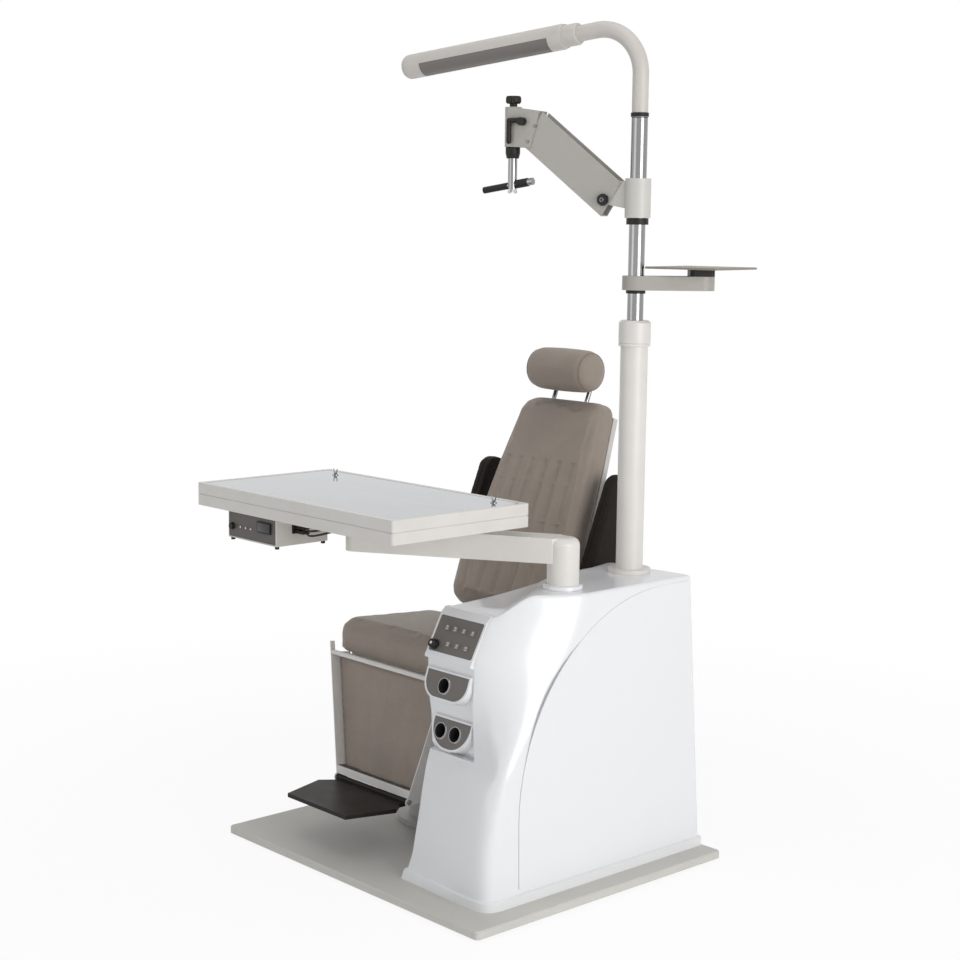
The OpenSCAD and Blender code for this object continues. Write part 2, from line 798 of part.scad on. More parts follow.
stop_h = clamp_h / 6;
washer_t = turn_gap * 5;
module pole_rings() {
  color("black") on_column() {
    up(clamp_z - turn_gap - stop_h)
      ring(clamp_d * 0.86, pole_d, stop_h);
    up(shelf_z - turn_gap - stop_h / 2)
      ring(pole_d + stop_h / 2, pole_d, stop_h / 2);
    up(pole_top)
      ring(pole_d, spigot_d, washer_t - turn_gap);
    up(collar_top + shelf_lift / 2)
      rotate([90, 0, beam_dir])
        rotate_extrude()
          polygon([[0, pole_d / 2], [stop_h / 4, pole_d / 2], [stop_h / 4, pole_d * 0.6],
            [stop_h / 2, pole_d * 0.6], [stop_h / 2, pole_d * 0.85], [0, pole_d * 0.85]]);
  }
}

// Table: local x runs from the post to the table's centre

table_mid = [post_x + beam_reach * cos(beam_dir), post_y + beam_reach * sin(beam_dir)];
beam_round = beam_h * 0.3;

module table_arm() {
  color("gainsboro") translate([post_x, post_y, 0])
    rotate([0, 0, beam_dir])
      difference() {
        union() {
          up(ring_top + turn_gap)
            rotate_extrude()
              polygon(concat([[0, 0], [post_d / 2, 0]],
                [for (a = [0:15:90]) [post_d / 2 - beam_round * (1 - cos(a)),
                  post_h + beam_h - turn_gap - beam_round * (1 - sin(a))]],
                [[0, post_h + beam_h - turn_gap]]));
          intersection() {
            linear_extrude(height = beam_z + beam_h) {
              polygon([[0, beam_round - post_d / 2], [beam_round, beam_round / 6 - post_d / 2],
                [beam_reach, -beam_w / 2], [beam_reach, beam_w / 2],
                [beam_round, post_d / 2 - beam_round / 6], [0, post_d / 2 - beam_round]]);
              translate([beam_reach, 0])
                circle(d = beam_w);
            }
            translate([0, post_d, 0])
              rotate([90, 0, 0])
                linear_extrude(height = 2 * post_d)
                  polygon([[0, beam_z], [beam_reach / 2, beam_z - beam_sag / 2],
                    [beam_reach + beam_w, beam_z - beam_sag],
                    [beam_reach + beam_w, beam_z + beam_h],
                    [0, beam_z + beam_h]]);
          }
        }
        cylinder(h = beam_z + beam_h / 2 + turn_gap, d = spindle_d + 2 * run_fit);
      }
}

module on_table(z) {
  translate([table_mid.x, table_mid.y, z])
    children();
}

module table_mount() {
  color("dimgray") on_table(table_z - mount_t) rotate([0, 0, beam_dir])
    round_block(mount_w, mount_w * 0.8, mount_t, mount_t / 2);
}

module table_frame() {
  seam_gap = [table_w - 2 * seam_depth, table_d - 2 * seam_depth];
  color("gainsboro") on_table(table_z) difference() {
    round_block(table_w, table_d, table_h, table_h / 8);
    up(table_h - glass_t)
      round_block(table_w - 2 * glass_inset, table_d - 2 * glass_inset, table_h, table_h / 10);
    up((table_h - seam_h) / 2)
      difference() {
        round_block(table_w + over, table_d + over, seam_h, table_h / 8);
        up(-over)
          round_block(seam_gap.x, seam_gap.y, seam_h + 2 * over, table_h / 8);
      }
  }
}

module table_glass() {
  color("lightsteelblue") on_table(table_top - glass_t)
    round_block(table_w - 2 * glass_inset, table_d - 2 * glass_inset, glass_t - seam_depth / 2,
      table_h / 10);
}

// Clips on the table's far edge: [share of width, share of depth] from the table's centre
clip_shares = [[-0.37, 0.36], [0.42, 0.36]];
clip_h = glass_t * 3;
module table_clips() {
  color("silver") for (s = clip_shares)
    on_table(table_top - seam_depth / 2)
      translate([s[0] * table_w, s[1] * table_d, 0]) {
        cylinder(h = glass_t / 3, d = clip_h);
        for (x = [-1, 1])
          translate([x * clip_h / 4, 0, glass_t / 6])
            rotate([0, x * 12, 0])
              cylinder(h = clip_h, d = glass_t / 2);
        up(clip_h / 3)
          sphere(d = glass_t * 1.3);
      }
}

// Control box under the table's left end: local origin at its front lower left corner

box_wall = box_h / 20;
box_x = table_mid.x - box_off - box_w;
plug_x = box_w + 2 * box_wall;
port_h = box_h / 3;
port_w = box_d / 6;
module on_box() {
  translate([box_x, table_mid.y - table_d / 2 + box_front, table_z - box_h])
    children();
}

module control_box() {
  color("whitesmoke") on_box() difference() {
    translate([box_w / 2, box_d / 2, 0])
      round_block(box_w, box_d, box_h, box_wall);
    translate([box_wall, -over, box_wall])
      cube([box_w - 2 * box_wall, box_wall + over, box_h - 2 * box_wall]);
  }
}

box_knob_place = [box_wall + box_knob_d * 0.8, box_h * 0.42];
module box_panel() {
  color("dimgray") on_box() difference() {
    translate([box_wall, box_wall / 2, box_wall])
      cube([box_w - 2 * box_wall, box_wall / 2, box_h - 2 * box_wall]);
    translate([box_w * 0.6, -over, box_h * 0.45])
      cube([box_w * 0.27, over + box_wall * 0.75, box_h * 0.34]);
    translate([box_knob_place.x, -over, box_knob_place.y])
      rotate([-90, 0, 0])
        cylinder(h = box_d / 2, d = box_knob_d / 3 + 2 * run_fit);
  }
}

module box_knob() {
  color("black") on_box() translate([box_knob_place.x, box_wall, box_knob_place.y])
    rotate([90, 0, 0])
      rotate_extrude()
        polygon([[0, 0], [box_knob_d / 6, 0], [box_knob_d / 6, box_wall / 2 + turn_gap],
          [box_knob_d / 2, box_wall / 2 + turn_gap], [box_knob_d * 0.42, box_knob_h],
          [0, box_knob_h]]);
}

// Socket block on the box's inner side, with two flat plugs in it
plug_h = port_h / 3;
plug_len = port_w * 1.3;
module box_fittings() {
  color("black") on_box() {
    translate([box_w, box_d * 0.3, box_h * 0.42])
      cube([box_wall * 2, port_w, port_h]);
    for (z = [0, 1])
      translate([plug_x, box_d * 0.3 + port_w / 8, box_h * 0.42 + plug_h / 4 + z * 1.5 * plug_h])
        cube([plug_len, port_w * 0.75, plug_h]);
    for (x = [box_knob_d / 2, box_w - box_knob_d / 2], y = [box_knob_d / 2, box_d - box_knob_d / 2])
      translate([x, y, -box_wall * 2])
        cylinder(h = box_wall * 2, d = box_knob_d * 0.6);
  }
}

// Two short leads from the plugs to the beam's end; each sags by a share of the box's height
lead_sag_share = 0.12;
lead_steps = 10;
module box_leads() {
  beam_end = [table_mid.x - box_x, table_d / 2 - box_front];
  touch = beam_w / 2 + lead_d * 0.16;
  color("gray") on_box()
    for (k = [0, 1]) {
      start = [plug_x + plug_len, box_d * 0.3 + port_w / 2, box_h * 0.42 + plug_h * (0.75 + 1.5 * k)];
      stop = [beam_end.x - touch * 0.6, beam_end.y - touch * 0.8, start.z];
      loft([for (i = [0:lead_steps]) let (t = i / lead_steps, way = stop - start,
          bend = way.y * 3 * pow(t, 2), across = [-bend, way.x, 0] / norm([bend, way.x]))
        [for (a = [0:30:330]) [lerp(start.x, stop.x, t), lerp(start.y, stop.y, pow(t, 3)),
            start.z - box_h * lead_sag_share * sin(180 * t)]
          + lead_d / 2 * (across * cos(a) + [0, 0, sin(a)])]]);
    }
}

// Instrument arm: local x runs out from the pole, local y to the side

module on_arm() {
  on_column()
    rotate([0, 0, arm_dir])
      children();
}

pivot = [arm_pivot_out, clamp_z + arm_pivot_rise];
head_pivot = [pivot.x + arm_len * cos(arm_slope), pivot.y + arm_len * sin(arm_slope)];
link_pivot = [pivot.x - link_back, pivot.y + link_rise];
link_head_pivot = [head_pivot.x - link_back, head_pivot.y + link_rise];
barrel_x = head_pivot.x + barrel_out;
barrel_z = head_pivot.y - barrel_h * 0.12;
inner_w = channel_w - 2 * channel_t - 2 * turn_gap;
link_w = inner_w * 0.46;
ear_t = (inner_w - link_w) / 2 - turn_gap;
eye_d = arm_pin_d * 2.4;
link_h = arm_pin_d * 1.3;

// A cross pin through the arm's plane, w wide about the middle
module cross_pin(p, w, d) {
  translate([p.x, w / 2, p.y])
    rotate([90, 0, 0])
      cylinder(h = w, d = d);
}

// A plate of the given side outline, from y to y + w
module side_plate(y, w) {
  translate([0, y + w, 0])
    rotate([90, 0, 0])
      linear_extrude(height = w)
        children();
}

// A pair of ears with bores for two pins, which reach from a body at x to both pivots
module ears(a, b, x, low, high) {
  for (s = [-1, 1])
    side_plate(s > 0 ? inner_w / 2 - ear_t : -inner_w / 2, ear_t)
      difference() {
        union() {
          translate(a)
            circle(d = eye_d);
          translate(b)
            circle(d = eye_d);
          polygon([[x, low], a - [0, eye_d / 2], a + [eye_d / 2, 0] * sign(a.x - x),
            b + [eye_d / 2, 0] * sign(a.x - x), b + [0, eye_d / 2], [x, high]]);
        }
        translate(a)
          circle(d = arm_pin_d);
        translate(b)
          circle(d = arm_pin_d);
      }
}

module arm_clamp() {
  color("gainsboro") on_arm() {
    up(clamp_z)
      ring(clamp_d, pole_d + 2 * run_fit, clamp_h);
    ears(pivot, link_pivot, clamp_d * 0.46, clamp_z + arm_pivot_rise - eye_d,
      clamp_z + clamp_h - arm_pin_d);
  }
}

knob_stand = channel_w / 2 + turn_gap;
module clamp_pins() {
  color("silver") on_arm() {
    cross_pin(pivot, channel_w + 2 * channel_t, arm_pin_d);
    cross_pin(link_pivot, inner_w, arm_pin_d);
  }
}

// Side outline of the channel, off the line between its pivots: [share of length] at either end
channel_root_shares = [-0.06, 0.144, 0.229];
channel_head_shares = [0.024, 0.065, 0.311];
channel_root = channel_root_shares * arm_len;
channel_head = channel_head_shares * arm_len;
function channel_foot(x) = lerp(-channel_root[1], -channel_head[1],
  (x - channel_root[0]) / (arm_len + channel_head[0] - channel_root[0]));

module along_arm(p) {
  translate([p.x, 0, p.y])
    rotate([0, -arm_slope, 0])
      children();
}

module arm_channel() {
  cavity = channel_w - 2 * channel_t;
  web_end = arm_len * 0.86;
  color("gainsboro") on_arm() along_arm(pivot)
    difference() {
      side_plate(-channel_w / 2, channel_w)
        polygon([[channel_root[0], -channel_root[1]],
          [arm_len + channel_head[0], -channel_head[1]],
          [arm_len + channel_head[0], channel_head[2]],
          [channel_root[0], channel_root[2]]]);
      side_plate(-cavity / 2, cavity)
        polygon([[-arm_len, channel_foot(-arm_len) + channel_t],
          [web_end, channel_foot(web_end) + channel_t], [web_end, -arm_len],
          [2 * arm_len, -arm_len], [2 * arm_len, arm_len], [-arm_len, arm_len]]);
      for (x = [0, arm_len])
        cross_pin([x, 0], 2 * channel_w, arm_pin_d + 2 * run_fit);
    }
}

module arm_link() {
  color("gainsboro") on_arm() along_arm(link_pivot)
    difference() {
      side_plate(-link_w / 2, link_w) {
        translate([0, -link_h / 2])
          square([arm_len, link_h]);
        for (x = [0, arm_len])
          translate([x, 0])
            circle(d = eye_d);
      }
      for (x = [0, arm_len])
        cross_pin([x, 0], channel_w, arm_pin_d + 2 * run_fit);
    }
}

// The head's cheek, off the head pivot, in shares of the barrel's height
cheek_shares = [[-0.32, 0.755], [-0.064, -0.149]];
star_stem_d = arm_pin_d;
nose_d = barrel_d * 0.88;
lever_d = barrel_d * 0.3;
lever_hub = [barrel_x - barrel_d, barrel_z + barrel_h * 0.62];

module arm_head() {
  top = barrel_z + barrel_h;
  color("gainsboro") on_arm() difference() {
    union() {
      translate([barrel_x, 0, barrel_z])
        cylinder(h = barrel_h, d = barrel_d);
      ears(head_pivot, link_head_pivot, barrel_x - barrel_d * 0.45,
        barrel_z + arm_pin_d / 2, top - arm_pin_d);
      for (s = [-1, 1])
        side_plate(s > 0 ? channel_w / 2 + turn_gap : -channel_w / 2 - turn_gap - cheek_t,
          cheek_t)
          polygon([[barrel_x, barrel_z], [barrel_x, top],
            head_pivot + cheek_shares[0] * barrel_h,
            head_pivot + cheek_shares[1] * barrel_h]);
    }
    translate([barrel_x, 0, barrel_z - over])
      cylinder(h = barrel_h * 0.55 + over, d = pin_d + 2 * run_fit);
    translate([barrel_x, 0, barrel_z])
      cylinder(h = 2 * barrel_h, d = star_stem_d + 2 * run_fit);
    cross_pin(head_pivot, 2 * barrel_d, arm_pin_d);
    translate([lever_hub.x, barrel_d, lever_hub.y])
      rotate([90, 0, 0])
        cylinder(h = barrel_d - channel_w / 2, d = lever_d / 2 + 2 * run_fit);
  }
}

module head_pins() {
  color("dimgray") on_arm() {
    cross_pin(head_pivot, channel_w + 2 * (turn_gap + cheek_t) + cheek_t, arm_pin_d);
    cross_pin(link_head_pivot, inner_w, arm_pin_d);
    for (s = [-1, 1])
      translate([0, s * (channel_w / 2 + turn_gap + cheek_t + cheek_t / 4), 0])
        cross_pin(link_head_pivot, cheek_t / 2, arm_pin_d);
  }
}

module head_nose() {
  color("black") on_arm() translate([barrel_x, 0, barrel_z - nose_h])
    rotate_extrude()
      polygon([[pin_d / 2 + run_fit, 0], [pin_d / 2 + cheek_t, 0],
        [nose_d / 2, nose_h * 0.45], [nose_d / 2, nose_h * 0.9],
        [nose_d * 0.47, nose_h], [pin_d / 2 + run_fit, nose_h]]);
}

module tension_knob() {
  stand = channel_w / 2 + turn_gap;
  color("black") on_arm() translate([pivot.x, stand, pivot.y])
    rotate([-90, 0, 0])
      difference() {
        lobed_knob(barrel_d * 0.7, nose_h * 0.4, 6);
        up(-over)
          cylinder(h = nose_h * 0.25 + over, d = arm_pin_d + 2 * run_fit);
      }
}

module lobed_knob(d, h, lobes) {
  difference() {
    rotate_extrude()
      polygon([[0, 0], [d * 0.42, 0], [d / 2, h * 0.2], [d / 2, h * 0.75], [d * 0.44, h], [0, h]]);
    for (k = [1:lobes])
      rotate([0, 0, 360 * k / lobes])
        translate([d * 0.56, 0, -over])
          cylinder(h = h + 2 * over, d = d * 0.26);
  }
}

module star_knob() {
  neck = star_d * 0.22;
  color("black") on_arm() translate([barrel_x, 0, barrel_z + barrel_h]) {
    up(-barrel_h * 0.3)
      cylinder(h = barrel_h * 0.3 + neck, d = star_stem_d);
    up(turn_gap)
      cylinder(h = neck, d = star_d * 0.5);
    up(neck)
      lobed_knob(star_d, star_d * 0.48, 6);
  }
}

// Clamp lever: a hub on the head's side and a handle that runs outwards, then down
module clamp_lever() {
  stand = channel_w / 2 + turn_gap + cheek_t + turn_gap;
  mid = stand + lever_d * 0.6;
  elbow = [barrel_x - barrel_d * 0.12, lever_hub.y + lever_d / 4];
  color("black") on_arm() {
    translate([lever_hub.x, 0, lever_hub.y])
      rotate([-90, 0, 0]) {
        up(stand)
          cylinder(h = lever_d * 1.2, d = lever_d * 1.6);
        up(channel_w / 2 + turn_gap)
          cylinder(h = lever_d, d = lever_d / 2);
      }
    translate([lever_hub.x, mid, elbow.y])
      rotate([0, 90, 0])
        cylinder(h = elbow.x - lever_hub.x, d = lever_d);
    translate([elbow.x, mid, elbow.y])
      sphere(d = lever_d);
    translate([elbow.x, mid, barrel_z + lever_d])
      cylinder(h = elbow.y - barrel_z - lever_d, d = lever_d);
    translate([elbow.x, mid, barrel_z + lever_d])
      sphere(d = lever_d);
  }
}

pin_foot = barrel_z - nose_h - pin_len;
rod_z = pin_foot + pin_d / 2;
screw_d = pin_d * 0.27;
module on_rod() {
  on_arm()
    translate([barrel_x, 0, rod_z])
      rotate([0, 90 + rod_tilt, 0])
        children();
}

module instrument_pin() {
  color("silver") difference() {
    on_arm()
      translate([barrel_x, 0, pin_foot])
        difference() {
          cylinder(h = pin_len + nose_h + barrel_h / 2, d = pin_d);
          up(-over)
            cylinder(h = pin_d / 3, d = screw_d + 2 * run_fit);
        }
    on_rod()
      up(-pin_d)
        cylinder(h = 2 * pin_d, d = rod_d + 2 * run_fit);
  }
}

// Cross rod: a bright core with a bright end, and two black sleeves on it
rod_sleeve = (pin_d / 2 + turn_gap + rod_d * 0.85 * sin(rod_tilt)) / cos(rod_tilt);
rod_far = rod_len * 0.58;
rod_end = rod_far - rod_d / 4;
module rod_core() {
  color("silver") on_rod() up(rod_far - rod_len) {
    cylinder(h = rod_len - rod_far + rod_end, d = rod_d);
    cylinder(h = rod_len * 0.1, d = rod_d * 1.45);
  }
}

module rod_sleeves() {
  near = rod_len * 0.32;
  color("black") on_rod() difference() {
    union() {
      up(rod_sleeve)
        cylinder(h = rod_far - rod_sleeve, d = rod_d * 1.35);
      up(-near)
        cylinder(h = near - rod_sleeve, d = rod_d * 1.7);
    }
    up(-rod_len)
      cylinder(h = rod_len + rod_end, d = rod_d);
  }
}

module thumb_screw() {
  color("silver") on_arm() translate([barrel_x, 0, pin_foot]) {
    up(-turn_gap - screw_d / 2)
      cylinder(h = (pin_d - rod_d + screw_d - turn_gap) / 2, d = screw_d);
    up(-turn_gap - screw_d)
      cylinder(h = screw_d, d = screw_d * 1.6);
    for (s = [-1, 1])
      translate([s * screw_d * 1.4, screw_d / 4, -turn_gap - screw_d * 0.8])
        rotate([90, 0, 0])
          cylinder(h = screw_d / 2, d = screw_d * 1.5);
  }
}

// Lamp: local x runs out from the pole; the head's own frame runs along the drooping axis

module on_lamp() {
  on_column()
    rotate([0, 0, lamp_dir])
      children();
}

bend_z = pole_top + washer_t + lamp_straight;
bend_end = [lamp_bend * (1 + sin(lamp_droop)), bend_z + lamp_bend * cos(lamp_droop)];
collar_seat = lamp_collar_len * 0.4;

module along_lamp() {
  on_lamp()
    translate([bend_end.x, 0, bend_end.y])
      rotate([0, 90 + lamp_droop, 0])
        children();
}

// The straight lengths are a hair thinner than the bend and end inside it
module lamp_tube() {
  straight_d = lamp_tube_d - 4 * run_fit;
  color("gainsboro") {
    on_lamp() {
      difference() {
        up(pole_top + washer_t)
          cylinder(h = lamp_straight + over, d = straight_d);
        up(pole_top)
          cylinder(h = spigot_h + turn_gap, d = spigot_d + 2 * run_fit);
      }
      translate([lamp_bend, 0, bend_z])
        rotate([90, 0, 0])
          rotate([0, 0, 90 - lamp_droop])
            rotate_extrude(angle = 90 + lamp_droop)
              translate([lamp_bend, 0])
                circle(d = lamp_tube_d);
    }
    along_lamp() up(-over)
      cylinder(h = lamp_run + over, d = straight_d);
  }
}

// The diffuser faces down and a little towards the chair's front
diffuser_turn = 47;
diffuser_start = lamp_collar_len + (lamp_len - diffuser_len) * 0.35;
module lamp_window(inset) {
  rotate([0, 0, diffuser_turn])
    translate([lamp_d * 0.28, inset - diffuser_w / 2, diffuser_start + inset])
      cube([lamp_d, diffuser_w - 2 * inset, diffuser_len - 2 * inset]);
}

module lamp_housing() {
  nose = lamp_d * 0.32;
  color("rosybrown") along_lamp()
    up(lamp_run - collar_seat)
      difference() {
        rotate_extrude()
          polygon(concat([[0, 0], [lamp_d * 0.4, 0], [lamp_d * 0.43, cheek_t],
            [lamp_d * 0.43, lamp_collar_len - cheek_t], [lamp_d * 0.47, lamp_collar_len - cheek_t],
            [lamp_d * 0.47, lamp_collar_len], [lamp_d / 2, lamp_collar_len + cheek_t]],
            [for (a = [0:15:90]) [lamp_d * (0.2 + 0.3 * cos(a)),
              lamp_collar_len + lamp_len - nose * (1 - sin(a))]],
            [[0, lamp_collar_len + lamp_len]]));
        up(-over)
          cylinder(h = collar_seat + turn_gap + over, d = lamp_tube_d - 2 * run_fit);
        lamp_window(0);
      }
}

module lamp_diffuser() {
  color("white") along_lamp()
    up(lamp_run - collar_seat)
      intersection() {
        cylinder(h = lamp_collar_len + lamp_len, d = lamp_d - turn_gap * 4);
        lamp_window(run_fit);
      }
}

// Shelf

module on_shelf() {
  on_column()
    rotate([0, 0, shelf_dir])
      children();
}

module shelf_bracket() {
  color("gainsboro") on_shelf() up(shelf_z)
    difference() {
      union() {
        for (x = [0, shelf_reach])
          translate([x, 0, 0])
            cylinder(h = shelf_arm_h, d = shelf_arm_w);
        translate([0, -shelf_arm_w / 2, 0])
          cube([shelf_reach, shelf_arm_w, shelf_arm_h]);
      }
      up(-over)
        cylinder(h = shelf_arm_h + 2 * over, d = pole_d + 2 * run_fit);
    }
}

module shelf_block() {
  color("black") on_shelf() translate([shelf_reach, 0, shelf_z + shelf_arm_h])
    round_block(shelf_arm_w * 0.9, shelf_arm_w * 0.9, shelf_block_h, shelf_block_h / 2);
}

module shelf_plate() {
  color("dimgray") on_shelf()
    translate([shelf_reach, 0, shelf_z + shelf_arm_h + shelf_block_h])
      rotate([0, 0, shelf_turn - shelf_dir])
        round_block(shelf_w, shelf_w, shelf_t, shelf_t);
}

// Chair

module on_chair() {
  translate([-chair_off, 0, 0])
    children();
}

recline_z = seat_z + recline_rise;
module on_back() {
  on_chair()
    leaning(recline_y, recline_z, back_lean)
      children();
}

seat_mid_y = seat_d / 2 - seat_front;
stroke_low = lift_h * 0.2;
ram_flange = ram_d * 1.6;
ram_plate = seat_frame_t / 2;
module lift_base() {
  color("dimgray") on_chair() translate([0, seat_mid_y, base_top]) {
    ring(lift_d, ram_d + 2 * run_fit, lift_h);
    ring(lift_d * 1.35, ram_d + 2 * run_fit, base_t * 0.7);
  }
}

module lift_ram() {
  color("silver") on_chair() translate([0, seat_mid_y, base_top + stroke_low]) {
    cylinder(h = seat_z - seat_frame_t - base_top - stroke_low, d = ram_d);
    up(seat_z - seat_frame_t - base_top - stroke_low - ram_plate)
      cylinder(h = ram_plate, d = ram_flange);
  }
}

seat_half = back_half * 0.932;
lug_t = seat_frame_t * 0.4;
lug_eye = chair_pin_d * 2.4;
leg_bar_y = leg_h * 0.918;
pad_front = leg_d * 0.4;
pad_rear = leg_d * 0.74;
pad_top = leg_bar_y - leg_bar_d / 2;
frame_front = -leg_front + pad_top * sin(leg_lean) + pad_rear * cos(leg_lean) + turn_gap
  + leg_sheet;
module seat_frame() {
  rear = recline_y + lug_eye / 2;
  color("gainsboro") on_chair() difference() {
    union() {
      translate([-seat_half, frame_front, seat_z - seat_frame_t])
        cube([2 * seat_half, rear - frame_front, seat_frame_t]);
      for (s = [-1, 1])
        cross_plate(s > 0 ? seat_half - lug_t : -seat_half, lug_t) {
          translate([recline_y, recline_z])
            circle(d = lug_eye);
          translate([recline_y - lug_eye / 2, seat_z - over])
            square([lug_eye, recline_rise + over]);
        }
    }
    translate([0, recline_y, recline_z])
      across(2 * seat_w, chair_pin_d);
  }
}

module chair_pins() {
  color("silver") on_chair() for (s = [-1, 1])
    translate([s * (seat_half - lug_t * 2.6), recline_y, recline_z])
      rotate([0, s * 90, 0])
        cylinder(h = lug_t * 3.2, d = chair_pin_d);
}

// A cushion: rows run along y, the face looks along z. Shares give its half width and its
// thickness along the length; channels run lengthwise between two shares of the length.
function pad_row(y, a, h, g, edge, draw, crown, channels, dip, parts) = concat(
  [[edge - a, y, 0], [a - edge, y, 0], [a, y, edge * 0.6 * g], [a - draw * g, y, h * 0.45]],
  [for (t = [0, 35, 65, 90]) [a - edge * (1 - cos(t)), y, h - edge * g * (1 - sin(t))]],
  [for (k = [1:parts - 1]) let (u = 1 - 2 * k / parts)
    [u * (a - edge), y, h + crown * g * (1 - u * u) - dip * (1 - abs(sin(90 * channels * (u + 1))))]],
  [for (t = [90, 65, 35, 0]) [edge * (1 - cos(t)) - a, y, h - edge * g * (1 - sin(t))]],
  [[draw * g - a, y, h * 0.45], [-a, y, edge * 0.6 * g]]);

module pad(length, half, half_shares, thick, thick_shares, corner, edge, draw, crown, channels, dip,
    span, parts, rows) {
  ends = [for (t = [0, 30, 60, 90]) [corner * (1 - cos(t)) / length, sin(t)]];
  inset = corner / length;
  places = concat(ends, [for (k = [1:rows]) [lerp(inset, 1 - inset, k / (rows + 1)), 1]],
    [for (k = [3:-1:0]) [1 - ends[k][0], ends[k][1]]]);
  loft([for (k = [len(places) - 1:-1:0]) let (s = places[k][0], g = places[k][1],
      fade = ease((s - span[0]) * 8) * ease((span[1] - s) * 8))
    pad_row(s * length, half * lookup(s, half_shares) - corner * (1 - g),
      thick * lookup(s, thick_shares) * (0.42 + 0.58 * g), max(g, 0.25), edge, draw, crown,
      channels, dip * fade, parts)]);
}

seat_half_shares = [[0, 0.985], [0.3, 1], [1, 0.97]];
seat_thick_shares = [[0, 1], [0.1, 1.03], [0.5, 0.92], [1, 0.8]];
module seat_cushion() {
  color("rosybrown") on_chair() translate([0, -seat_front, seat_z])
    pad(seat_d, seat_w / 2, seat_half_shares, seat_t, seat_thick_shares, seat_t * 0.5,
      seat_t * 0.3, seat_t * 0.05, seat_t * 0.07, 1, 0, [0, 1], 14, 7);
}

// Backrest: local y runs up it from the recline axis, local z points to the front
back_start = recline_rise * 1.8;
back_rear = -back_t * 0.3125;
back_half_shares = [[0, 1], [0.236, 1], [0.33, 0.93], [0.425, 0.868], [0.706, 0.802], [0.8, 0.77],
  [1, 0.7]];
back_thick_shares = [[0, 0.94], [0.25, 1.04], [0.6, 1], [1, 0.9]];
stay_z = back_t * 0.18;
stay_seat = back_len * 0.2;
bolster_y = back_start + back_len + bolster_d * 0.52;
bolster_z = stay_z + bolster_d * 0.4;

module stay_rods(low, high, d) {
  for (s = [-1, 1])
    translate([s * stay_pitch / 2, low, stay_z])
      rotate([-90, 0, 0])
        cylinder(h = high - low, d = d);
}

module back_cushion() {
  color("rosybrown") on_back() difference() {
    translate([0, back_start, back_rear])
      pad(back_len, back_half, back_half_shares, back_t, back_thick_shares, back_t * 0.56,
        back_t * 0.28, back_t * 0.05, back_t * 0.06, 7, channel_depth, [0.08, 0.72], 28, 13);
    stay_rods(back_start + back_len - stay_seat - over, bolster_y, stay_d + over);
  }
}

armrest_low = back_start + back_len * 0.235;
armrest_pin_y = armrest_low + armrest_d * 0.45;
armrest_rear = -armrest_d * 0.65;
armrest_pin_z = back_rear - back_frame_t / 2;

module back_frame() {
  rim = back_frame_t * 0.9;
  outline = [for (s = [0.03, 0.12, 0.236, 0.33, 0.425, 0.56, 0.706, 0.8, 0.9, 0.95])
    [back_half * lookup(s, back_half_shares) - rim, back_start + s * back_len]];
  lug = seat_half - lug_t - turn_gap - lug_t;
  color("dimgray") on_back() difference() {
    union() {
      up(back_rear - back_frame_t)
        linear_extrude(height = back_frame_t)
          polygon(concat(outline,
            [for (k = [len(outline) - 1:-1:0]) [-outline[k].x, outline[k].y]]));
      for (s = [-1, 1])
        cross_plate(s > 0 ? lug : -lug - lug_t, lug_t) {
          circle(d = lug_eye);
          polygon([[0, -lug_eye / 2], [0, lug_eye / 2], [back_start - turn_gap, back_rear - turn_gap],
            [back_start + 2 * rim, back_rear - turn_gap],
            [back_start + 2 * rim, back_rear - back_frame_t],
            [back_start, back_rear - back_frame_t]]);
        }
    }
    across(2 * seat_w, chair_pin_d + 2 * run_fit);
    armrest_bores(chair_pin_d);
  }
}

module armrest_bores(d) {
  for (s = [-1, 1])
    translate([s * back_half * 0.7, armrest_pin_y, armrest_pin_z])
      rotate([0, s * 90, 0])
        cylinder(h = back_half, d = d);
}

module armrest_pins() {
  stand = armrest_off - turn_gap;
  color("silver") on_back() for (s = [-1, 1])
    translate([0, armrest_pin_y, armrest_pin_z])
      rotate([0, s * 90, 0]) {
        up(back_half * 0.7)
          cylinder(h = armrest_off + armrest_t * 0.8 - back_half * 0.7, d = chair_pin_d);
        up(back_half * 0.95)
          cylinder(h = stand - back_half * 0.95, d = chair_pin_d * 1.8);
      }
}

module armrest(s) {
  corner = armrest_d * 0.2;
  crest = armrest_d * 0.42;
  color("black") on_back()
    difference() {
      cross_plate(s > 0 ? armrest_off : -armrest_off - armrest_t, armrest_t)
        translate([armrest_low, armrest_rear])
          hull() {
            for (p = [[corner, corner], [armrest_len - corner, corner], [corner, armrest_d - corner]])
              translate(p)
                circle(r = corner);
            translate([armrest_len - crest, armrest_d - crest])
              circle(r = crest);
          }
      translate([0, armrest_pin_y, armrest_pin_z])
        rotate([0, s * 90, 0])
          cylinder(h = armrest_off + armrest_t * 0.8 + turn_gap, d = chair_pin_d + 2 * run_fit);
    }
}

module armrest_left() {
  armrest(-1);
}

module armrest_right() {
  armrest(1);
}

module headrest_stays() {
  color("silver") on_back() stay_rods(back_start + back_len - stay_seat, bolster_y, stay_d);
}

module headrest_bolster() {
  r = bolster_d / 2;
  round = r * 0.62;
  half = bolster_len / 2;
  cheek = [for (t = [0:15:90]) [r * 0.97 - round * (1 - sin(t)), half - round * (1 - cos(t))]];
  color("rosybrown") on_back()
    difference() {
      translate([0, bolster_y, bolster_z])
        rotate([0, 90, 0])
          rotate_extrude()
            polygon(concat([[0, -half]], [for (p = cheek) [p.x, -p.y]],
              [[r * 0.99, -half * 0.35], [r, 0], [r * 0.99, half * 0.35]],
              [for (k = [6:-1:0]) cheek[k]], [[0, half]]));
      stay_rods(back_start, bolster_y, stay_d);
    }
}

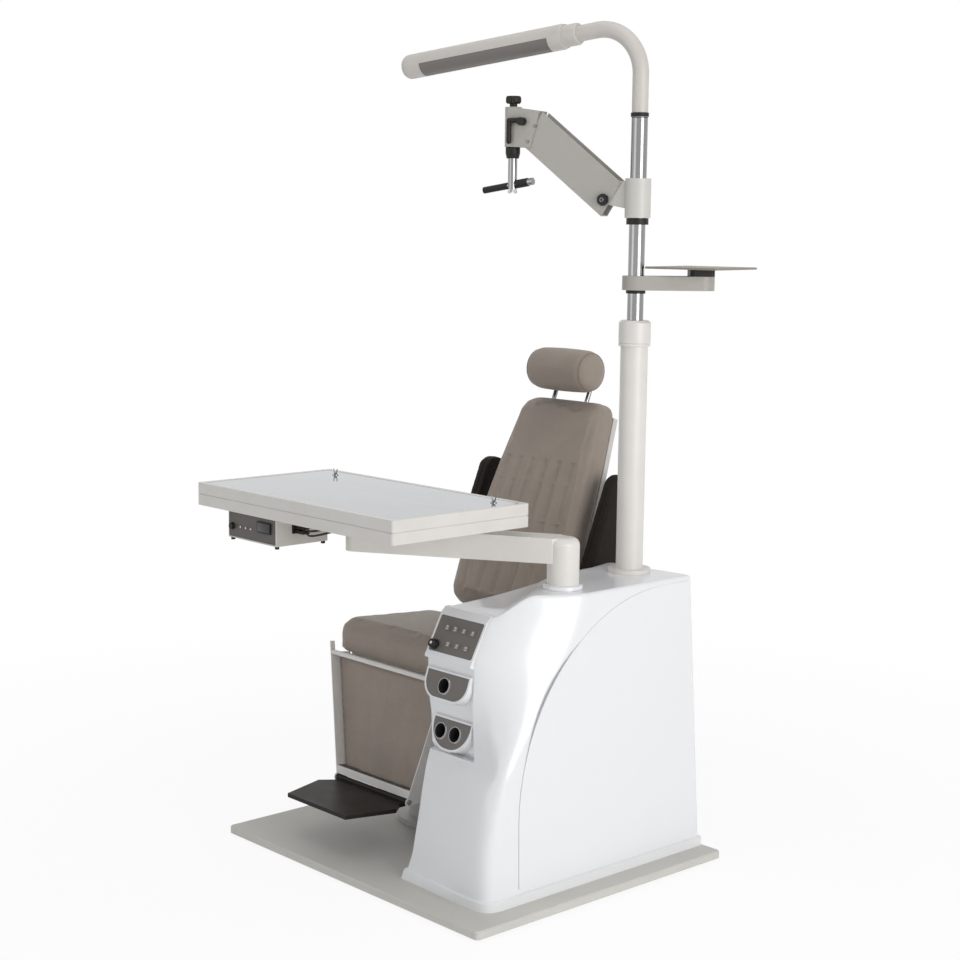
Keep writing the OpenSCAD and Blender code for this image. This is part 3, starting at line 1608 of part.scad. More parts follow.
// Leg rest: local y runs up its face from its lower edge, local z points to the front

module on_leg() {
  on_chair()
    leaning(-leg_front, leg_z, leg_lean)
      children();
}

function leg_half(y) = lerp(leg_low, leg_high, y / leg_h);
module leg_outline(low, high, inset) {
  polygon([[inset - leg_half(low), low], [leg_half(low) - inset, low], [leg_half(high) - inset, high],
    [inset - leg_half(high), high]]);
}

hinge_y = -leg_front + hinge_bolt_d * 0.375;
hinge_z = leg_z - foot_plate_t;
hinge_d = foot_plate_t * 1.4;
cheek_r = foot_plate_t;
module leg_frame() {
  rail_z = seat_z - seat_frame_t;
  rail_half = leg_half((rail_z - leg_z) / cos(leg_lean)) - leg_sheet / 4;
  color("gainsboro") on_chair() difference() {
    union() {
      leaning(-leg_front, leg_z, leg_lean)
        difference() {
          up(-leg_d)
            linear_extrude(height = leg_d)
              leg_outline(0, leg_h, 0);
          up(-leg_d - over)
            linear_extrude(height = leg_d + over - leg_sheet)
              leg_outline(leg_sheet, leg_h + over, leg_sheet);
          up(-leg_d)
            linear_extrude(height = 2 * leg_d)
              leg_outline(leg_flange, leg_h + over, leg_sheet);
          translate([-leg_high, leg_bar_y, -2 * leg_d])
            cube([2 * leg_high, leg_h, 2 * leg_d - leg_flange * 0.7]);
        }
      leaning(-leg_front, leg_z, leg_lean)
        translate([-leg_half(leg_bar_y) + leg_sheet, leg_bar_y, -leg_bar_d / 2])
          rotate([0, 90, 0])
            cylinder(h = 2 * leg_half(leg_bar_y) - 2 * leg_sheet, d = leg_bar_d);
      translate([-rail_half, frame_front - leg_sheet, rail_z])
        cube([2 * rail_half, leg_sheet, seat_frame_t * 0.6]);
      for (s = [-1, 1])
        cross_plate(s > 0 ? leg_low - leg_sheet : -leg_low, leg_sheet) {
          translate([hinge_y, hinge_z])
            circle(r = cheek_r);
          polygon([[hinge_y - cheek_r, hinge_z], [hinge_y, hinge_z - cheek_r],
            [hinge_y + leg_d * 0.85, hinge_z - cheek_r * 0.4],
            [hinge_y + leg_d * 0.85, leg_z + leg_sheet], [hinge_y, leg_z + leg_sheet]]);
        }
    }
    translate([0, hinge_y, hinge_z])
      across(4 * leg_low, hinge_bolt_d);
  }
}

module leg_pad() {
  low = leg_sheet + turn_gap + pad_rear * tan(leg_lean);
  color("rosybrown") on_leg() translate([0, low, -pad_rear])
    pad(pad_top - low, 1, [[0, leg_half(low) - leg_sheet - turn_gap],
      [1, leg_half(pad_top) - leg_sheet - turn_gap]], pad_rear - pad_front, [[0, 1], [1, 1]],
      leg_sheet, leg_sheet * 1.6, turn_gap, leg_sheet * 1.4, 6, leg_sheet * 0.3, [-1, 2], 24, 6);
}

module foot_bolts() {
  color("silver") on_chair() for (s = [-1, 1])
    translate([s * leg_low * 0.82, hinge_y, hinge_z])
      rotate([0, s * 90, 0]) {
        cylinder(h = leg_low * 0.18 + leg_sheet, d = hinge_bolt_d);
        up(leg_low * 0.18)
          cylinder(h = leg_sheet, d = hinge_bolt_d * 1.6);
      }
}

// The footrest's outline: [share of reach from the hinge, share of the greatest half width]
foot_shares = [[1, 0.747], [0.29, 1], [0.105, 0.833], [0, 0.833]];
module footrest() {
  half = leg_low - leg_sheet - turn_gap;
  side = [for (s = foot_shares) [s[1] * foot_half, hinge_y - s[0] * foot_reach]];
  color("black") on_chair() difference() {
    union() {
      up(hinge_z - foot_plate_t * 1.2)
        linear_extrude(height = foot_plate_t)
          polygon(concat(side, [for (k = [len(side) - 1:-1:0]) [-side[k].x, side[k].y]]));
      translate([-half, hinge_y, hinge_z])
        rotate([0, 90, 0])
          cylinder(h = 2 * half, d = hinge_d);
    }
    translate([0, hinge_y, hinge_z])
      across(3 * half, hinge_bolt_d + 2 * run_fit);
  }
}

base_plate();
base_feet();
console_shell();
console_head();
side_panel();
keypad_plate();
panel_knob();
pod_rims();
pod_plates();
pod_cups();
table_spindle();
column_tube();
column_collar();
pole();
pole_rings();
table_arm();
table_mount();
table_frame();
table_glass();
table_clips();
control_box();
box_panel();
box_knob();
box_fittings();
box_leads();
arm_clamp();
clamp_pins();
arm_channel();
arm_link();
arm_head();
head_pins();
head_nose();
tension_knob();
star_knob();
clamp_lever();
instrument_pin();
rod_core();
rod_sleeves();
thumb_screw();
lamp_tube();
lamp_housing();
lamp_diffuser();
shelf_bracket();
shelf_block();
shelf_plate();
lift_base();
lift_ram();
seat_frame();
seat_cushion();
chair_pins();
back_frame();
back_cushion();
armrest_pins();
headrest_stays();
headrest_bolster();
armrest_left();
armrest_right();
leg_frame();
leg_pad();
foot_bolts();
footrest();
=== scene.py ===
"""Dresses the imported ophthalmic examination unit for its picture.

The frame holds the unit's solids. This script gives each of them a finish, sews
the leather cushions, refines the moulded and swept shapes, adds the small
fittings, and sets up the floor, the lights and the camera. All sizes are metres.
"""

import logging
import math
from dataclasses import dataclass, field
from enum import Enum
from typing import Iterable, Sequence

import bmesh
import bpy
from mathutils import Matrix, Vector
from mathutils.bvhtree import BVHTree


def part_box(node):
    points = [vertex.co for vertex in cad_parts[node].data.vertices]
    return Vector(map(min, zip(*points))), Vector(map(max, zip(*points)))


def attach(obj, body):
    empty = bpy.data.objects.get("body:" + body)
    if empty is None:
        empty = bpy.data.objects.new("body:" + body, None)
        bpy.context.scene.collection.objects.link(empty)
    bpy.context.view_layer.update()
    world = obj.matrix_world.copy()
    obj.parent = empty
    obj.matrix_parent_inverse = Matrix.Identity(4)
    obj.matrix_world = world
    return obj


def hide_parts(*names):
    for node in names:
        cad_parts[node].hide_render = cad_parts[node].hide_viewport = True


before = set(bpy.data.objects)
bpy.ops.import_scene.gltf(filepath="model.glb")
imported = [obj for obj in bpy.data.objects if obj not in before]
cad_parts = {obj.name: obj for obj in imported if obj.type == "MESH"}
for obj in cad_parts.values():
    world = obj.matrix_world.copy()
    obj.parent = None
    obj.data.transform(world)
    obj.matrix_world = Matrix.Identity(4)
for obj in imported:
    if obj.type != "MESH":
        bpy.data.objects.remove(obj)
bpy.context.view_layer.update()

MM = 0.001
COLUMN_PLACE = (258, 262, 0)
KEYPAD_LEAN = 27.82
POD_LEAN = 18.0
BACK_LEAN = 21.7
LEG_LEAN = 8.2
BOX_PLACE = (-399.7, -430.0, 760.0)
LOG = logging.getLogger("unit")


# ---------------------------------------------------------------- node wiring


def linear(code: str) -> tuple[float, float, float, float]:
    """Turns a colour written as six hexadecimal digits into linear light.

    Args:
        code: the colour, such as "e4dfdc".

    Returns:
        Red, green, blue and a full alpha.
    """
    parts = [int(code[k:k + 2], 16) / 255 for k in (0, 2, 4)]
    light = [p / 12.92 if p <= 0.04045 else ((p + 0.055) / 1.055) ** 2.4 for p in parts]
    return (light[0], light[1], light[2], 1.0)


class Wire:
    """A number on its way through a material; arithmetic on it adds Math nodes."""

    def __init__(self, net: "Net", socket: bpy.types.NodeSocket) -> None:
        """Keeps the net that the socket belongs to."""
        self.net = net
        self.socket = socket

    def _math(self, operation: str, first: object, second: object) -> "Wire":
        """Adds one Math node with the two values and returns its result."""
        node = self.net.node("ShaderNodeMath", {"operation": operation}, {0: first, 1: second})
        return Wire(self.net, node.outputs[0])

    def __add__(self, other: object) -> "Wire":
        """Adds a number or another wire."""
        return self._math("ADD", self, other)

    def __sub__(self, other: object) -> "Wire":
        """Takes a number or another wire away."""
        return self._math("SUBTRACT", self, other)

    def __mul__(self, other: object) -> "Wire":
        """Multiplies by a number or another wire."""
        return self._math("MULTIPLY", self, other)

    def __truediv__(self, other: object) -> "Wire":
        """Divides by a number or another wire."""
        return self._math("DIVIDE", self, other)

    def spread(self, low: float, high: float, to_low: float, to_high: float) -> "Wire":
        """Maps a range of this wire to another range, held at its ends.

        Args:
            low: value that becomes to_low.
            high: value that becomes to_high.
            to_low: result at and below low.
            to_high: result at and above high.

        Returns:
            The mapped wire.
        """
        node = self.net.node("ShaderNodeMapRange", {"clamp": True},
                             {0: self, 1: low, 2: high, 3: to_low, 4: to_high})
        return Wire(self.net, node.outputs[0])


class Net:
    """The node tree of one material, built by short calls."""

    def __init__(self, name: str) -> None:
        """Starts an empty material with a Principled shader."""
        self.material = bpy.data.materials.new(name)
        self.material.use_nodes = True
        self.tree = self.material.node_tree
        self.tree.nodes.clear()
        self.output = self.node("ShaderNodeOutputMaterial")
        self.shader = self.node("ShaderNodeBsdfPrincipled")
        self.tree.links.new(self.shader.outputs[0], self.output.inputs[0])
        self.place = self.node("ShaderNodeTexCoord").outputs["Object"]

    def node(self, kind: str, settings: dict | None = None,
             inputs: dict | None = None) -> bpy.types.Node:
        """Adds one node of any type.

        Args:
            kind: Blender's name of the node type.
            settings: attributes to set on the node.
            inputs: values or wires for its inputs, by name or number.

        Returns:
            The new node.
        """
        node = self.tree.nodes.new(kind)
        for key, value in (settings or {}).items():
            setattr(node, key, value)
        for key, value in (inputs or {}).items():
            self.feed(node.inputs[key], value)
        return node

    def feed(self, socket: bpy.types.NodeSocket, value: object) -> None:
        """Links a wire or socket to an input, or sets a plain value on it."""
        if isinstance(value, Wire):
            value = value.socket
        if isinstance(value, bpy.types.NodeSocket):
            self.tree.links.new(value, socket)
        else:
            socket.default_value = value

    def stretched(self, stretch: Sequence[float]) -> bpy.types.NodeSocket:
        """Returns object coordinates multiplied along each axis."""
        node = self.node("ShaderNodeVectorMath", {"operation": "MULTIPLY"},
                         {0: self.place, 1: tuple(stretch)})
        return node.outputs[0]

    def noise(self, scale: float, detail: float = 3.0, rough: float = 0.5,
              stretch: Sequence[float] | None = None, warp: float = 0.0) -> Wire:
        """Adds noise on object coordinates.

        Args:
            scale: cells in a metre.
            detail: octaves.
            rough: strength of the finer octaves.
            stretch: factor along each axis, if not the same for all.
            warp: distortion of the cells.

        Returns:
            The noise, about 0.5 in the middle.
        """
        place = self.stretched(stretch) if stretch else self.place
        node = self.node("ShaderNodeTexNoise", None, {
            "Vector": place, "Scale": scale, "Detail": detail, "Roughness": rough,
            "Distortion": warp})
        return Wire(self, node.outputs[0])

    def cells(self, scale: float, feature: str = "DISTANCE_TO_EDGE") -> Wire:
        """Adds Voronoi cells on object coordinates and returns their distance."""
        node = self.node("ShaderNodeTexVoronoi", {"feature": feature},
                         {"Vector": self.place, "Scale": scale})
        return Wire(self, node.outputs[0])

    def tone(self, factor: Wire, first: Sequence[float], second: Sequence[float]) -> Wire:
        """Blends two colours through a Mix node."""
        node = self.node("ShaderNodeMix", {"data_type": "RGBA"},
                         {0: factor, 6: tuple(first), 7: tuple(second)})
        return Wire(self, node.outputs[2])

    def over(self, tone: Wire, factor: Wire, colour: Sequence[float]) -> Wire:
        """Lays a plain colour over another tone by a factor."""
        node = self.node("ShaderNodeMix", {"data_type": "RGBA"},
                         {0: factor, 6: tone, 7: tuple(colour)})
        return Wire(self, node.outputs[2])

    def bump(self, height: Wire, distance: float, strength: float = 1.0,
             below: Wire | None = None) -> Wire:
        """Turns a height into a normal, over another bump where one is given."""
        inputs = {"Height": height, "Distance": distance, "Strength": strength}
        if below is not None:
            inputs["Normal"] = below
        return Wire(self, self.node("ShaderNodeBump", None, inputs).outputs[0])

    def dress(self, **values: object) -> bpy.types.Material:
        """Sets the Principled inputs, named with underscores for spaces."""
        for key, value in values.items():
            self.feed(self.shader.inputs[key.replace("_", " ")], value)
        return self.material


def shade(tone: Sequence[float], factor: float) -> tuple[float, float, float, float]:
    """Returns a colour made lighter or darker by a factor."""
    return (tone[0] * factor, tone[1] * factor, tone[2] * factor, 1.0)


# ------------------------------------------------------------------- finishes


@dataclass(frozen=True)
class Finish:
    """A surface of the unit, with the record's slot it belongs to."""

    name: str
    slot: str
    colour: str

    def material(self) -> bpy.types.Material:
        """Returns the finish's material, made once."""
        known = bpy.data.materials.get(self.name)
        return known if known else self.build(Net(self.name))

    def build(self, net: Net) -> bpy.types.Material:
        """Wires the material; each kind of finish has its own way."""
        raise NotImplementedError


@dataclass(frozen=True)
class Coating(Finish):
    """Sprayed paint or powder: a fine orange peel, faint mottling and a little dust."""

    roughness: float = 0.42
    peel: float = 420.0
    depth: float = 0.00012
    coat: float = 0.0

    def build(self, net: Net) -> bpy.types.Material:
        """Wires the paint."""
        base = linear(self.colour)
        mottle = net.noise(9.0, 5.0, 0.6)
        dust = net.noise(2.6, 6.0, 0.68, warp=0.4)
        tone = net.tone(mottle.spread(0.3, 0.7, 0, 1), shade(base, 0.965), shade(base, 1.03))
        tone = net.over(tone, dust.spread(0.54, 0.8, 0, 0.25), shade(base, 0.84))
        peel = net.noise(self.peel, 2.0, 0.45)
        speck = net.cells(self.peel * 1.9, "F1")
        height = peel + speck * 0.35
        rough = mottle.spread(0.3, 0.7, self.roughness - 0.035, self.roughness + 0.045)
        return net.dress(Base_Color=tone, Roughness=rough + dust.spread(0.55, 0.8, 0, 0.1),
                         Normal=net.bump(height, self.depth, 0.8), Coat_Weight=self.coat,
                         Coat_Roughness=0.12)


@dataclass(frozen=True)
class Moulding(Finish):
    """Moulded plastic, glossy or matt, with the mould's grain and rubbed places."""

    roughness: float = 0.3
    grain: float = 900.0
    depth: float = 0.00006
    coat: float = 0.0
    mottle: float = 0.035
    rub: float = 0.08
    gloss: float = 0.5

    def build(self, net: Net) -> bpy.types.Material:
        """Wires the plastic."""
        base = linear(self.colour)
        cloud = net.noise(2.2, 3.0, 0.5)
        rubbed = net.noise(11.0, 5.0, 0.6, warp=0.6)
        tone = net.tone(cloud.spread(0.3, 0.7, 0, 1), shade(base, 1 - self.mottle),
                        shade(base, 1 + self.mottle))
        rough = rubbed.spread(0.4, 0.75, self.roughness, self.roughness + self.rub)
        grain = net.bump(net.noise(self.grain, 2.0, 0.5), self.depth, 0.7)
        return net.dress(Base_Color=tone, Roughness=rough, Normal=grain,
                         Coat_Weight=self.coat, Coat_Roughness=0.06,
                         Specular_IOR_Level=self.gloss)


@dataclass(frozen=True)
class Hide(Finish):
    """Soft grained upholstery leather: pebbled cells, pores, creases and worn crests."""

    roughness: float = 0.5
    pebble: float = 520.0
    depth: float = 0.00035
    sheen: float = 0.12
    polish: float = 0.06
    gloss: float = 0.4

    def build(self, net: Net) -> bpy.types.Material:
        """Wires the leather."""
        base = linear(self.colour)
        cloud = net.noise(7.0, 6.0, 0.62, warp=0.3)
        patch = net.noise(46.0, 4.0, 0.6)
        tone = net.tone(cloud.spread(0.28, 0.72, 0, 1), shade(base, 0.88), shade(base, 1.09))
        edge = net.cells(self.pebble)
        tone = net.over(tone, edge.spread(0.0, 0.12, 0.45, 0.0), shade(base, 0.62))
        pebbles = edge.spread(0.0, 0.22, 0, 1)
        creases = net.noise(30.0, 3.0, 0.55, (1.0, 1.0, 0.35), 1.2)
        pores = net.noise(self.pebble * 2.3, 2.0, 0.5)
        skin = net.bump(pebbles * 0.75 + pores * 0.3, self.depth, 0.75)
        skin = net.bump(creases, 0.0016, 0.32, skin)
        rough = patch.spread(0.3, 0.7, self.roughness - 0.06, self.roughness + 0.08)
        return net.dress(Base_Color=tone, Roughness=rough + edge.spread(0, 0.12, 0.1, 0),
                         Normal=skin, Coat_Weight=self.polish, Coat_Roughness=0.35,
                         Sheen_Weight=self.sheen, Sheen_Roughness=0.5,
                         Specular_IOR_Level=self.gloss)


@dataclass(frozen=True)
class Metal(Finish):
    """Bare metal: polished with finger marks, or brushed along one axis."""

    roughness: float = 0.12
    brush: tuple[float, float, float] = (1.0, 1.0, 1.0)
    lines: float = 0.0

    def build(self, net: Net) -> bpy.types.Material:
        """Wires the metal."""
        base = linear(self.colour)
        smudge = net.noise(24.0, 6.0, 0.65, warp=0.8)
        tarnish = net.noise(5.0, 4.0, 0.55)
        tone = net.tone(tarnish.spread(0.3, 0.7, 0, 1), shade(base, 0.9), shade(base, 1.05))
        rough = smudge.spread(0.45, 0.8, self.roughness, self.roughness + 0.14)
        height = net.noise(700.0, 2.0, 0.5)
        depth = 0.00001
        if self.lines:
            height = net.noise(self.lines, 3.0, 0.6, self.brush)
            rough = rough + height.spread(0.3, 0.7, -0.06, 0.1)
            depth = 0.00004
        return net.dress(Base_Color=tone, Metallic=1.0, Roughness=rough,
                         Normal=net.bump(height, depth, 0.6))


@dataclass(frozen=True)
class Pane(Finish):
    """Glass over silvering or over a dark display: near mirror, with wiped streaks."""

    metallic: float = 1.0
    roughness: float = 0.05

    def build(self, net: Net) -> bpy.types.Material:
        """Wires the glass."""
        base = linear(self.colour)
        wiped = net.noise(5.0, 6.0, 0.62, (1.0, 3.2, 1.0), 0.7)
        specks = net.cells(210.0, "F1")
        tone = net.tone(wiped.spread(0.35, 0.75, 0, 1), shade(base, 1.0), shade(base, 0.9))
        rough = wiped.spread(0.4, 0.75, self.roughness, self.roughness + 0.09) \
            + specks.spread(0.0, 0.12, 0.12, 0.0)
        sag = net.bump(net.noise(3.0, 1.0, 0.4), 0.0004, 0.35)
        return net.dress(Base_Color=tone, Metallic=self.metallic, Roughness=rough, Normal=sag,
                         Coat_Weight=0.15, Coat_Roughness=0.03)


@dataclass(frozen=True)
class Lens(Finish):
    """A small light or printed mark that stands out from its dark panel. Its faint glow is the
    lamp light of the box's lights, and a painted glow on the printed marks of the keys and the
    knob, which are no lamps.
    """

    glow: float = 0.0

    def build(self, net: Net) -> bpy.types.Material:
        """Wires the mark."""
        base = linear(self.colour)
        cloud = net.noise(160.0, 3.0, 0.6)
        tone = net.tone(cloud.spread(0.3, 0.7, 0, 1), shade(base, 0.9), shade(base, 1.06))
        # Emission: lamp light on the box's lights, a painted glow on the printed marks.
        return net.dress(Base_Color=tone, Roughness=cloud.spread(0.3, 0.7, 0.3, 0.45),
                         Emission_Color=tone, Emission_Strength=self.glow)


class Surface(Enum):
    """Every finish on the unit."""

    BASE = Coating("base_powder", "base_paint", "cac7c0", roughness=0.5, depth=0.0002)
    CONSOLE = Moulding("console_gloss", "console_white", "e9e9ea", roughness=0.28,
                       depth=0.000004, coat=0.35, mottle=0.004, rub=0.01)
    COLUMN = Coating("column_powder", "column_paint", "dedad4", roughness=0.36, coat=0.1)
    TABLE = Coating("table_powder", "column_paint", "dad6d0", roughness=0.38, coat=0.1)
    ARM = Coating("arm_powder", "arm_paint", "b1ada6", roughness=0.4)
    CLAMP = Coating("clamp_powder", "arm_paint", "cdcac3", roughness=0.4)
    BRACKET = Coating("bracket_powder", "arm_paint", "a7a29b", roughness=0.42)
    LAMP = Coating("lamp_powder", "lamp_paint", "ccc6bf", roughness=0.4)
    SHELF = Coating("shelf_powder", "lamp_paint", "8c8377", roughness=0.45)
    BOX = Coating("box_powder", "box_grey", "c9c5be", roughness=0.46, peel=600.0)
    FRAME = Coating("chair_powder", "base_paint", "cfccc7", roughness=0.46)
    LEG = Coating("leg_powder", "column_paint", "e6e3df", roughness=0.42)
    CHROME = Metal("polished_chrome", "chrome", "939394", roughness=0.12)
    STEEL = Metal("turned_steel", "steel", "a9a9ab", roughness=0.28,
                  brush=(1.0, 1.0, 14.0), lines=260.0)
    PIN = Metal("dull_pins", "steel", "77777a", roughness=0.34)
    BLACK = Moulding("black_plastic", "black", "201e1b", roughness=0.42, depth=0.00012,
                     gloss=0.25)
    PANEL = Moulding("panel_film", "dark_panel", "69645f", roughness=0.4, grain=1400.0,
                     depth=0.00005)
    FACIA = Moulding("box_film", "dark_panel", "56514d", roughness=0.4, grain=1400.0,
                     depth=0.00005)
    KEY = Moulding("key_film", "dark_panel", "79746f", roughness=0.34, grain=1400.0)
    LEATHER = Hide("taupe_leather", "leather", "9b8e82")
    SEAM = Hide("taupe_seam", "leather", "8a7f74", roughness=0.55, pebble=900.0)
    DARK_LEATHER = Hide("dark_hide", "dark_leather", "2a2521", roughness=0.55, sheen=0.0,
                        polish=0.0, gloss=0.08)
    DARK_SEAM = Hide("dark_seam", "dark_leather", "231d1a", roughness=0.55, pebble=900.0,
                     sheen=0.0, polish=0.0, gloss=0.08)
    THREAD = Moulding("thread", "leather", "a89d91", roughness=0.7, grain=3000.0)
    FOOT = Moulding("footrest_plastic", "black", "241f1c", roughness=0.42, grain=500.0,
                    depth=0.0002, gloss=0.15)
    RUBBER = Moulding("black_rubber", "rubber", "1f1e1d", roughness=0.7, grain=600.0, depth=0.0003)
    MIRROR = Pane("mirror_glass", "table_mirror", "8b9297")
    DISPLAY = Pane("display_glass", "dark_panel", "1b1d20", metallic=0.0, roughness=0.08)
    LOUVRE = Moulding("louvre_plastic", "diffuser", "75706c", roughness=0.4)
    CABLE = Moulding("cable_sheath", "cable", "2b2a29", roughness=0.5, grain=1200.0)
    # The pale marks glow faintly: lamp light on the box's lights, a painted glow on the printed
    # key marks and the knob's dot.
    MARK = Lens("pale_mark", "dark_panel", "e8e6e2", glow=0.05)

    def slots(self, piece: bpy.types.Object) -> None:
        """Puts this finish on every slot of a piece."""
        materials = piece.data.materials
        for k in range(len(materials)):
            materials[k] = self.value.material()
        if not materials:
            materials.append(self.value.material())


# --------------------------------------------------------------------- shapes


def frame_at(origin: Sequence[float], x: Vector, y: Vector, z: Vector) -> Matrix:
    """Returns the matrix of a local frame with its origin and three axes."""
    turn = Matrix((x, y, z)).transposed().to_4x4()
    return Matrix.Translation(Vector(origin)) @ turn


def leaning(origin: Sequence[float], degrees: float) -> Matrix:
    """Returns a frame on a face that looks to the front and leans back.

    Args:
        origin: its origin in millimetres.
        degrees: how far the face leans back from upright.

    Returns:
        A matrix with y up the face and z out of it.
    """
    s, c = math.sin(math.radians(degrees)), math.cos(math.radians(degrees))
    return frame_at(Vector(origin) * MM, Vector((1, 0, 0)), Vector((0, s, c)), Vector((0, -c, s)))


class Form:
    """A shape being worked with bmesh operators, in millimetres of a local frame."""

    def __init__(self, place: Matrix | None = None) -> None:
        """Starts an empty shape on a local frame."""
        self.mesh = bmesh.new()
        self.place = place or Matrix.Identity(4)

    def _settle(self, verts: Iterable[bmesh.types.BMVert], at: Matrix) -> None:
        """Moves new vertices to their place and into metres of the shared frame."""
        whole = self.place @ Matrix.Scale(MM, 4) @ at
        bmesh.ops.transform(self.mesh, matrix=whole, verts=list(verts))

    def block(self, size: Sequence[float], at: Sequence[float], soft: float = 0.6,
              segments: int = 3, turn: Matrix | None = None) -> "Form":
        """Adds a block with rounded edges.

        Args:
            size: its three sides.
            at: its centre.
            soft: radius of its edges.
            segments: steps of the rounding.
            turn: its own turn, if it has one.

        Returns:
            The form itself.
        """
        made = bmesh.ops.create_cube(self.mesh, size=1.0)["verts"]
        bmesh.ops.scale(self.mesh, vec=size, verts=made)
        edges = list({e for v in made for e in v.link_edges})
        done = bmesh.ops.bevel(self.mesh, geom=edges, offset=soft, offset_type="OFFSET",
                               affect="EDGES", segments=segments, profile=0.5, material=-1)
        verts = set(done["verts"]) | {v for v in made if v.is_valid}
        self._settle(verts, Matrix.Translation(at) @ (turn or Matrix.Identity(4)))
        return self

    def turned(self, profile: Sequence[Sequence[float]], at: Matrix | None = None,
               steps: int = 40) -> "Form":
        """Adds a turned shape: a profile of radius and height, spun about local z.

        Args:
            profile: places of radius and height, from one end to the other.
            at: where the shape stands in the form's frame, in millimetres.
            steps: sides of the full turn.

        Returns:
            The form itself.
        """
        row = [self.mesh.verts.new((p[0], 0, p[1])) for p in profile]
        edges = [self.mesh.edges.new(pair) for pair in zip(row, row[1:])]
        old = set(self.mesh.verts) - set(row)
        bmesh.ops.spin(self.mesh, geom=row + edges, cent=(0, 0, 0), axis=(0, 0, 1),
                       angle=math.tau, steps=steps, use_merge=True, use_duplicate=False)
        new = [v for v in self.mesh.verts if v not in old]
        bmesh.ops.remove_doubles(self.mesh, verts=new, dist=1e-4)
        new = [v for v in self.mesh.verts if v not in old]
        self._settle(new, at or Matrix.Identity(4))
        return self

    def screw(self, at: Sequence[float], axis: Sequence[float] = (0, 0, 1), radius: float = 3.0,
              rise: float = 1.6) -> "Form":
        """Adds a button-headed screw with a six-sided socket.

        Args:
            at: where its head sits.
            axis: the way its head looks.
            radius: radius of its head.
            rise: height of its head.

        Returns:
            The form itself.
        """
        turn = Vector(axis).normalized().to_track_quat("Z", "Y").to_matrix().to_4x4()
        where = Matrix.Translation(at) @ turn
        dome = [(radius * math.sin(math.radians(a)), rise * math.cos(math.radians(a)) ** 0.8)
                for a in (88, 70, 50, 32)]
        socket = radius * 0.42
        self.turned([(radius, -0.4)] + dome + [(socket, rise), (socket, rise * 0.35),
                    (0.0, rise * 0.3)], where, 24)
        return self

    def sweep(self, points: Sequence[Vector], radius: float, closed: bool = True,
              sides: int = 3) -> "Form":
        """Adds a round tube along points of the shared frame, in metres.

        Args:
            points: places along the tube's middle.
            radius: its radius in millimetres.
            closed: whether its ends join.
            sides: resolution of its round, as a curve's bevel has it.

        Returns:
            The form itself.
        """
        curve = bpy.data.curves.new("sweep", "CURVE")
        curve.dimensions = "3D"
        curve.bevel_depth = radius * MM
        curve.bevel_resolution = sides
        curve.use_fill_caps = True
        spline = curve.splines.new("POLY")
        spline.points.add(len(points) - 1)
        for target, p in zip(spline.points, points):
            target.co = (p[0], p[1], p[2], 1.0)
        spline.use_cyclic_u = closed
        rig = bpy.data.objects.new("sweep", curve)
        bpy.context.collection.objects.link(rig)
        rod = bpy.data.meshes.new_from_object(rig.evaluated_get(
            bpy.context.evaluated_depsgraph_get()))
        self.mesh.from_mesh(rod)
        bpy.data.objects.remove(rig)
        bpy.data.meshes.remove(rod)
        return self

    def copy_of(self, node: str) -> "Form":
        """Adds a merged copy of a CAD node's mesh."""
        self.mesh.from_mesh(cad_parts[node].data)
        bmesh.ops.remove_doubles(self.mesh, verts=self.mesh.verts[:], dist=2e-5)
        return self

    def finish(self, name: str, body: str, surface: Surface, keep: float = 35.0,
               replaces: Sequence[str] = (), outward: bool = True) -> bpy.types.Object:
        """Makes the shape a piece of the scene.

        Args:
            name: the piece's name.
            body: the CAD body it moves with.
            surface: its finish.
            keep: degrees above which an edge stays sharp.
            replaces: CAD nodes that it stands for.
            outward: whether its faces are turned outwards again.

        Returns:
            The new object.
        """
        if outward:
            bmesh.ops.recalc_face_normals(self.mesh, faces=self.mesh.faces[:])
        limit = math.radians(keep)
        for face in self.mesh.faces:
            face.smooth = True
        for edge in self.mesh.edges:
            edge.smooth = len(edge.link_faces) == 2 and edge.calc_face_angle(0.0) < limit
        data = bpy.data.meshes.new(name)
        self.mesh.to_mesh(data)
        self.mesh.free()
        piece = bpy.data.objects.new(name, data)
        bpy.context.collection.objects.link(piece)
        surface.slots(piece)
        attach(piece, body)
        if replaces:
            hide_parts(*replaces)
        LOG.info("%s: %d faces on %s", name, len(data.polygons), body)
        return piece


def far_face(node: str, axis: Sequence[float]) -> Matrix:
    """Finds the face of a CAD node that looks furthest along an axis.

    Args:
        node: the CAD node.
        axis: the direction in the shared frame.

    Returns:
        A frame in the middle of that face, whose z looks along the axis.
    """
    look = Vector(axis).normalized()
    places = [v.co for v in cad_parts[node].data.vertices]
    reach = max(p.dot(look) for p in places)
    top = [p for p in places if p.dot(look) > reach - 0.3 * MM]
    low = Vector([min(p[k] for p in top) for k in range(3)])
    high = Vector([max(p[k] for p in top) for k in range(3)])
    turn = look.to_track_quat("Z", "Y").to_matrix().to_4x4()
    return Matrix.Translation((low + high) / 2) @ turn


def refit(node: str, body: str, surface: Surface, keep: float = 32.0) -> bpy.types.Object:
    """Replaces a CAD node by a merged copy of it with smooth, even shading.

    Args:
        node: the CAD node.
        body: the body it rides on.
        surface: its finish.
        keep: degrees above which an edge stays sharp.

    Returns:
        The new piece.
    """
    form = Form().copy_of(node)
    piece = form.finish(node + "_skin", body, surface, keep, (node,), outward=False)
    even = piece.modifiers.new("even_shading", "WEIGHTED_NORMAL")
    even.keep_sharp = True
    return piece


def refit_all(rows: Iterable[tuple]) -> None:
    """Replaces several CAD nodes, each given by the arguments of refit."""
    for row in rows:
        refit(*row)


